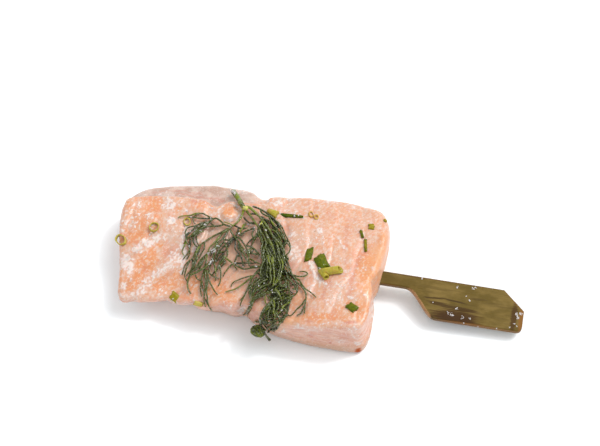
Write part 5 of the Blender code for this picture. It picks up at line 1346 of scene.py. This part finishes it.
class Tracer:
    """Lays what is drawn in the picture on the surface that is seen there."""

    def __init__(self, objects):
        self.tree = tree_of(objects)
        self.right, self.up, self.back, self.eye = camera_axes()

    def ray(self, x, y):
        """The direction from the camera to a place in the picture."""
        across = self.right * ((x - PICTURE[0] / 2) / FOCUS)
        return (across - self.up * ((y - PICTURE[1] / 2) / FOCUS) - self.back).normalized()

    def meets(self, x, y):
        """Whether anything is seen at a place in the picture."""
        return self.tree.ray_cast(self.eye, self.ray(x, y))[0] is not None

    def spot(self, x, y, lift):
        """The point seen at a place in the picture, this far off the surface, and the surface's normal."""
        ray = self.ray(x, y)
        hit, normal, _, _ = self.tree.ray_cast(self.eye, ray)
        if hit is None and y > PICTURE[1] / 2:
            return self.eye + ray * ((HANG_Y - self.eye.y) / ray.y), Vector((0.0, -1.0, 0.0))
        if hit is None:
            return self.eye + ray * ((MISSED_Z - self.eye.z) / ray.z), Vector((0.0, 0.0, 1.0))
        return hit - ray * (lift / max(LEAST_SLOPE, -ray.dot(normal))), normal

    def path(self, places, lifts, radius):
        """A path drawn in the picture, laid this high, eased so that it doesn't follow every bump."""
        laid = [self.spot(x, y, lift + radius)[0] for (x, y), lift in zip(places, lifts)]
        laid = np.array(laid)
        depth = laid @ np.array(self.back)
        eased = depth.copy()
        eased[1:-1] = np.maximum(depth[1:-1], 0.25 * depth[:-2] + 0.5 * depth[1:-1] + 0.25 * depth[2:])
        return laid + (eased - depth)[:, None] * np.array(self.back)


def thread_mesh(name, threads, made_of):
    """One mesh of tapered threads: each has a path, a radius at both ends and a tone at both ends."""
    points, faces, tones = [], [], []
    sides = THREAD_SIDES
    turns = 2 * math.pi * np.arange(sides) / sides
    circle = np.column_stack([np.cos(turns), np.sin(turns)])
    for path, radii, shades in threads:
        ahead = np.gradient(path, axis=0)
        ahead /= np.linalg.norm(ahead, axis=1)[:, None]
        side = np.cross(ahead[0], (0.0, 0.0, 1.0) if abs(ahead[0][2]) < 0.9 else (0.0, 1.0, 0.0))
        share = np.linspace(0.0, 1.0, len(path))
        size = radii[0] + (radii[1] - radii[0]) * share**THREAD_TAPER
        size[0] *= THREAD_START
        base = len(points)
        for at, direction, radius in zip(path, ahead, size):
            side = side - side.dot(direction) * direction
            side = side / np.linalg.norm(side)
            rise = np.cross(side, direction)
            points.extend(at + radius * (circle[:, :1] * side + circle[:, 1:] * rise))
        tones.extend(np.repeat(shades[0] + (shades[1] - shades[0]) * share, sides))
        for row in range(len(path) - 1):
            start = base + row * sides
            for k in range(sides):
                after = (k + 1) % sides
                faces.append((start + k, start + after, start + sides + after, start + sides + k))
        last = base + (len(path) - 1) * sides
        faces.append(tuple(range(base, base + sides))[::-1])
        faces.append(tuple(range(last, last + sides)))
    obj = mesh_object(name, points, faces, made_of)
    store(obj, "tone", tones)
    return obj


def resampled(path, step):
    """The same path with points at even steps."""
    path = np.asarray(path, float)
    along = np.concatenate([[0.0], np.cumsum(np.linalg.norm(np.diff(path, axis=0), axis=1))])
    count = max(4, int(along[-1] / step) + 1)
    at = np.linspace(0.0, along[-1], count)
    return np.column_stack([np.interp(at, along, column) for column in path.T])


def drawn_threads(tracer):
    """The threads that the picture shows one by one."""
    rng = random.Random(SEED)
    made = []
    for corner, zoom, threads in DILL_GROUPS:
        for radius, tone, low, high, *drawn in threads:
            places = resampled(spline(drawn, 6), zoom) / zoom + np.array(corner)
            share = np.linspace(0.0, 1.0, len(places))
            height = low + (high - low) * share + THREAD_ARCH * np.sin(math.pi * share)
            path = tracer.path(places, height, radius)
            thick = radius > STEM_RADIUS
            tip = radius * (STEM_TIP if thick else THREAD_TIP)
            shade = tone + rng.uniform(-0.06, 0.06)
            made.append((path, (radius, tip), (shade, shade if thick else 0.2 + 0.5 * shade)))
    return made


def bundle_threads(tracer):
    """Threads that fill the bundle, in layers, each along its spine or curling across it."""
    rng = random.Random(SEED)
    made = []
    for spine, count, spans, wander, layer, radius in BUNDLE_FILL:
        line = spline(spine, 8)
        for i in range(count):
            span = min(rng.randint(*spans), len(line) - 3)
            first = int((i + rng.random()) / count * (len(line) - span - 1))
            offset = rng.uniform(-BUNDLE_EDGE, BUNDLE_EDGE)
            end = offset + rng.uniform(-BUNDLE_DRIFT, BUNDLE_DRIFT) * wander
            phase, turns = rng.uniform(0.0, FULL_TURN), rng.uniform(*BUNDLE_TURNS)
            depth = rng.random()
            places, lifts = [], []
            for t in np.linspace(0.0, 1.0, max(6, int(span * 0.8))):
                at = first + t * span
                k = int(at)
                here = line[k] + (line[k + 1] - line[k]) * (at - k)
                ahead = line[k + 1] - line[k]
                side = np.array((ahead[1], -ahead[0])) / np.linalg.norm(ahead[:2])
                across = offset + (end - offset) * t + wander * math.sin(phase + 2 * math.pi * turns * t)
                across = abs((across - 1.0) % 4.0 - 2.0) - 1.0
                places.append(here[:2] + side * here[2] * across)
                dome = BUNDLE_RIM + (1.0 - BUNDLE_RIM) * (1.0 - across * across)
                lifts.append((layer[0] + (layer[1] - layer[0]) * depth) * dome
                             + BUNDLE_RIPPLE * math.sin(phase + 5.0 * t) * dome)
            lifts = np.maximum(lifts, BUNDLE_LOWEST)
            path = tracer.path(places, lifts, radius)
            near_top = (1.0 - first / len(line))**2
            # Threads lying lower get darker tones: painted shade under the upper layer.
            tone = rng.choice(BUNDLE_TONES) + BUNDLE_LIGHTER[0] * depth + BUNDLE_LIGHTER[1] * near_top
            made.append((path, (radius, radius * THREAD_TIP), (tone, tone + 0.1)))
    return made


def ball_threads(tracer):
    """The ball of curled threads at the foot of the bundle."""
    rng = np.random.default_rng(SEED)
    centre = np.array(tracer.spot(*BALL["at"], 0.0)[0])
    made = []
    for _ in range(BALL["threads"]):
        axis = rng.normal(size=3)
        axis /= np.linalg.norm(axis)
        first = np.cross(axis, rng.normal(size=3))
        first /= np.linalg.norm(first)
        second = np.cross(axis, first)
        off = rng.uniform(-BALL["off"], BALL["off"])
        reach = BALL["radius"] * rng.uniform(*BALL["reach"])
        turn = rng.uniform(0.0, FULL_TURN) + np.linspace(0.0, rng.uniform(*BALL["arc"]), BALL["points"])
        ring = first * np.cos(turn)[:, None] + second * np.sin(turn)[:, None]
        path = centre + reach * (math.sqrt(1 - off * off) * ring + off * axis) * BALL["squash"]
        tone = rng.uniform(*BALL["tone"])
        made.append((path, BALL["radii"], (tone, tone + 0.1)))
    return made


def leaf_material():
    """Wet dill: dark olive green with lighter stems and a grey sheen here and there."""
    m = Nodes("dill_leaf")
    where = m.place()
    tone = m.plus(m.attribute("tone"), m.ramp(m.noise(where, 2.0, 2.0), 0.3, 0.7, -0.1, 0.1))
    base = m.by_tone(tone, LEAF_TONES)
    # Light grey patches on the threads: painted sheen where light glances off the wet dill.
    painted_sheen = m.noise(where, 0.45, 3.0)
    base = m.mix(m.ramp(painted_sheen, 0.54, 0.61, 0.0, 0.5), base, linear(172, 176, 158))
    m.set(Base_Color=base, Roughness=0.2, Specular_IOR_Level=m.ramp(tone, 0.45, 0.7, 0.35, 0.12),
          Coat_Weight=m.ramp(tone, 0.45, 0.7, 0.3, 0.1), Coat_Roughness=0.04,
          Normal=m.bump(m.noise(where, 0.3, 2.0), 0.1))
    return m.material


def seat(tree, x, y, heading, rise):
    """A frame lying on the fish at a point: local x along the heading, local z off the surface."""
    above = tree.ray_cast(Vector((x, y, SKY_Z)), Vector((0.0, 0.0, -1.0)))[0]
    start = above if above is not None else Vector((x, y, 0.0))
    steps = ((0, 0), (1, 0), (-1, 0), (0, 1), (0, -1))
    near = [tree.find_nearest(start + Vector((dx, dy, 0.0))) for dx, dy in steps]
    normal = sum((n for _, n, _, _ in near), Vector()).normalized()
    hit = near[0][0]
    along = Vector((math.cos(math.radians(heading)), math.sin(math.radians(heading)), 0.0))
    along = (along - along.dot(normal) * normal).normalized()
    turn = Matrix((along, normal.cross(along), normal)).transposed().to_4x4()
    return Matrix.Translation(hit + normal * rise) @ turn


def chive_tube(tree, size):
    """A slice or short length of hollow chive, a little out of round. Points and faces."""
    x, y, heading, tilt, radius, length, oval, slant, _ = size
    inner = max(CHIVE_MIN_BORE, radius - CHIVE_WALL)
    tilt = math.radians(tilt)
    rise = radius * math.cos(tilt) + 0.5 * length * math.sin(tilt) - CHIVE_SINK
    place = seat(tree, x, y, heading, rise) @ Matrix.Rotation(-tilt, 4, "Y")
    lip = CHIVE_LIP
    rings = [(-0.5, radius - lip), (-0.5 + lip / length, radius), (-0.2, radius), (0.2, radius),
             (0.5 - lip / length, radius), (0.5, radius - lip), (0.5, inner + lip),
             (0.5 - lip / length, inner), (0.0, inner), (-0.5 + lip / length, inner), (-0.5, inner + lip)]
    sides = CHIVE_SIDES
    points, faces = [], []
    for end, r in rings:
        for k in range(sides):
            a = 2 * math.pi * k / sides
            out = r * (1.0 + TUBE_WOBBLE[0] * math.sin(2 * a + x) + TUBE_WOBBLE[1] * math.sin(5 * a + y))
            back = slant * out * math.sin(a) + TUBE_RAGGED * math.sin(a + x)
            points.append(place @ Vector((end * length - back, oval * out * math.cos(a), out * math.sin(a))))
    for row in range(len(rings)):
        here, there = row * sides, (row + 1) % len(rings) * sides
        for k in range(sides):
            after = (k + 1) % sides
            faces.append((here + k, there + k, there + after, here + after))
    return points, faces


def chive_strip(tree, size):
    """A cut flat piece of leaf with ribs along it and uneven ends. Points and faces."""
    x, y, heading, length, near_width, bow, skew, far_width, _ = size
    place = seat(tree, x, y, heading, 0.0)
    columns, rows = STRIP_COLUMNS, STRIP_ROWS
    points, faces = [], []
    for side in (1, -1):
        for i in range(rows):
            u = i / (rows - 1) - 0.5
            width = near_width + (far_width - near_width) * (u + 0.5)
            for j in range(columns):
                c = j / (columns - 1) - 0.5
                torn = STRIP_TORN[0] * math.sin(9.0 * c + x) + STRIP_TORN[1] * math.sin(23.0 * c + y)
                out = 1.0 + STRIP_WAVER * math.sin(7.0 * u + y)
                height = bow * (1.0 - (2 * c) ** 2) + CHIVE_THICKNESS + STRIP_RIB * math.sin(30.0 * c)
                edge = min(1.0, 8.0 * (0.5 - abs(c)) + 0.35, 8.0 * (0.5 - abs(u)) + 0.35)
                z = height * (0.55 + 0.45 * edge) if side > 0 else -CHIVE_FOOT * 0.5
                flat_x = u * length + torn * abs(2 * u) + skew * c * width
                points.append(place @ Vector((flat_x, c * width * out, z)))
    bottom = rows * columns
    for i in range(rows - 1):
        for j in range(columns - 1):
            a = i * columns + j
            quad = (a, a + columns, a + columns + 1, a + 1)
            faces.append(quad)
            faces.append(tuple(bottom + k for k in quad[::-1]))
    rim = list(range(columns)) + [i * columns + columns - 1 for i in range(1, rows)]
    rim += [(rows - 1) * columns + j for j in range(columns - 2, -1, -1)]
    rim += [i * columns for i in range(rows - 2, 0, -1)]
    for k, a in enumerate(rim):
        b = rim[(k + 1) % len(rim)]
        faces.append((a, b, bottom + b, bottom + a))
    return points, faces


def chives(tree, made_of):
    """All the cut chives as one mesh, with each piece's tone."""
    pieces = [chive_tube(tree, size) for size in CHIVE_TUBES]
    pieces += [chive_strip(tree, size) for size in CHIVE_STRIPS]
    tones = []
    for (points, _), size in zip(pieces, CHIVE_TUBES + CHIVE_STRIPS):
        tones += [size[-1]] * len(points)
    obj = mesh_object("chives", *joined(pieces), made_of)
    store(obj, "tone", tones)
    return obj


def chive_material():
    """Chives from dark green to pale yellow-green, wet and a little translucent."""
    m = Nodes("chive_leaf")
    where = m.place()
    tone = m.plus(m.attribute("tone"), m.ramp(m.noise(where, 0.8, 3.0), 0.3, 0.7, -0.1, 0.1))
    base = m.by_tone(tone, CHIVE_TONES)
    amber = m.ramp(m.noise(where, 1.4, 2.0), 0.46, 0.62, 0.0, 0.6)
    base = m.mix(m.times(amber, m.ramp(tone, 0.5, 0.65)), base, linear(198, 160, 72))
    m.set(Base_Color=base, Roughness=0.26, Specular_IOR_Level=0.12, Coat_Weight=0.08, Coat_Roughness=0.06,
          Subsurface_Weight=0.3, Subsurface_Radius=(0.8, 0.8, 0.3), Subsurface_Scale=0.6 * MM,
          Normal=m.bump(m.noise(where, 0.25, 2.0), 0.08))
    return m.material


def fleck_points(rng, centre, size, normal):
    """A ragged lump about a centre: an octahedron split once, each corner pulled in or out."""
    axes = [(1, 0, 0), (0, 1, 0), (0, 0, 1), (-1, 0, 0), (0, -1, 0), (0, 0, -1)]
    corners = [np.array(a, float) for a in axes]
    faces = [(0, 1, 2), (1, 3, 2), (3, 4, 2), (4, 0, 2), (1, 0, 5), (3, 1, 5), (4, 3, 5), (0, 4, 5)]
    middle = {}
    split = []
    for a, b, c in faces:
        mids = []
        for p, q in ((a, b), (b, c), (c, a)):
            key = (min(p, q), max(p, q))
            if key not in middle:
                middle[key] = len(corners)
                corners.append((corners[p] + corners[q]) / np.linalg.norm(corners[p] + corners[q]))
            mids.append(middle[key])
        ab, bc, ca = mids
        split += [(a, ab, ca), (ab, b, bc), (ca, bc, c), (ab, bc, ca)]
    stretch = np.array([rng.uniform(*FLECK_STRETCH) for _ in range(3)])
    corners = np.array([c * rng.uniform(*FLECK_RAGGED) for c in corners]) * stretch * size / 2
    flat = corners @ np.array(normal)
    corners = corners - FLECK_FLATTEN * flat[:, None] * np.array(normal)
    return corners + np.array(centre), split


def flecks(tracer, fish_tree, made_of):
    """White bits: those that the picture shows, each a small cluster, and loose ones on the fish."""
    rng = random.Random(SEED)
    lumps = []
    for corner, zoom, places in FLECK_GROUPS:
        for x, y, size in places:
            for _ in range(max(2, round(size / FLECK_SHARE))):
                reach = FLECK_REACH * size
                at = (corner[0] + x / zoom + rng.gauss(0, reach), corner[1] + y / zoom + rng.gauss(0, reach))
                size_here = rng.uniform(*FLECK_SIZES)
                if tracer.meets(*at):
                    spot, normal = tracer.spot(*at, FLECK_LIFT)
                    lumps.append((spot, size_here, normal))
    drawn = len(lumps)
    while len(lumps) < drawn + LOOSE_FLECKS:
        x, y = (rng.uniform(-reach, reach) for reach in LOOSE_REACH)
        hit, normal, _, _ = fish_tree.ray_cast(Vector((x, y, SKY_Z)), Vector((0.0, 0.0, -1.0)))
        if hit is not None and normal.z > LOOSE_LEVEL:
            lumps.append((hit, rng.uniform(*LOOSE_SIZES), normal))
    pieces = [fleck_points(rng, *lump) for lump in lumps]
    return mesh_object("flecks", *joined(pieces), made_of)


def fleck_material():
    """Salt grains, set albumin and white lumps as painted highlights: off-white, moist."""
    m = Nodes("white_fleck")
    where = m.place()
    base = m.mix(m.noise(where, 1.0, 2.0), linear(250, 246, 244), linear(228, 220, 222))
    m.set(Base_Color=base, Roughness=0.4, Subsurface_Weight=0.3, Subsurface_Radius=(0.5, 0.5, 0.5),
          Subsurface_Scale=0.3 * MM)
    return m.material


def set_floor():
    """A pale floor, far wider than the picture."""
    m = Nodes("pale_floor")
    m.set(Base_Color=m.mix(m.noise(m.place(), FLOOR_CLOUDS), *FLOOR_COLOURS), Roughness=0.9,
          Specular_IOR_Level=0.1)
    side = FLOOR_SIDE
    floor = mesh_object("floor", [(-side, -side, 0), (side, -side, 0), (side, side, 0), (-side, side, 0)],
                        [(0, 1, 2, 3)], m.material)


def set_light():
    """A white sky, a broad soft sun and a narrow one for the glints."""
    world = bpy.data.worlds.new("studio")
    world.use_nodes = True
    world.node_tree.nodes["Background"].inputs["Color"].default_value = (1.0, 1.0, 1.0, 1.0)
    world.node_tree.nodes["Background"].inputs["Strength"].default_value = SKY_STRENGTH * BRIGHTNESS
    bpy.context.scene.world = world
    toward = Vector(SUN_TOWARD).normalized()
    for name, energy, spread in SUNS:
        sun = bpy.data.lights.new(name, "SUN")
        sun.energy = energy * BRIGHTNESS
        sun.angle = math.radians(spread)
        lamp = bpy.data.objects.new(name, sun)
        lamp.matrix_world = toward.to_track_quat("Z", "Y").to_matrix().to_4x4()
        bpy.context.scene.collection.objects.link(lamp)
    bpy.context.scene.view_settings.view_transform = "Standard"


def main():
    """Builds the scene: the camera, the floor, the light, and each piece with its looks."""
    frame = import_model()
    set_camera()
    set_floor()
    set_light()
    fish = salmon_flesh(flesh_material())
    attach(fish, "root")
    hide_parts("salmon")
    skewer = frame["nodes"]["skewer"]
    skewer.data.materials.clear()
    skewer.data.materials.append(bamboo_material())
    fish_tree = tree_of([fish])
    greens = chives(fish_tree, chive_material())
    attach(greens, "root")
    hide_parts("salmon")
    tracer = Tracer([fish, skewer])
    leaf = leaf_material()
    drawn, bundle, ball = drawn_threads(tracer), bundle_threads(tracer), ball_threads(tracer)
    # The threads' cover marks where the flesh is painted darker: painted shade under the dill.
    store(fish, "covered", cover_share(drawn + bundle, seen_at(points_of(fish))))
    for name, threads in (("dill_threads", drawn), ("dill_bundle", bundle), ("dill_ball", ball)):
        sprig = thread_mesh(name, threads, leaf)
        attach(sprig, "root")
        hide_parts("dill")
    sprigs = [bpy.data.objects[name] for name in ("dill_threads", "dill_bundle")]
    bits = flecks(Tracer([fish, skewer, greens, *sprigs]), fish_tree, fleck_material())
    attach(bits, "root")
    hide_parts("salmon")


main()
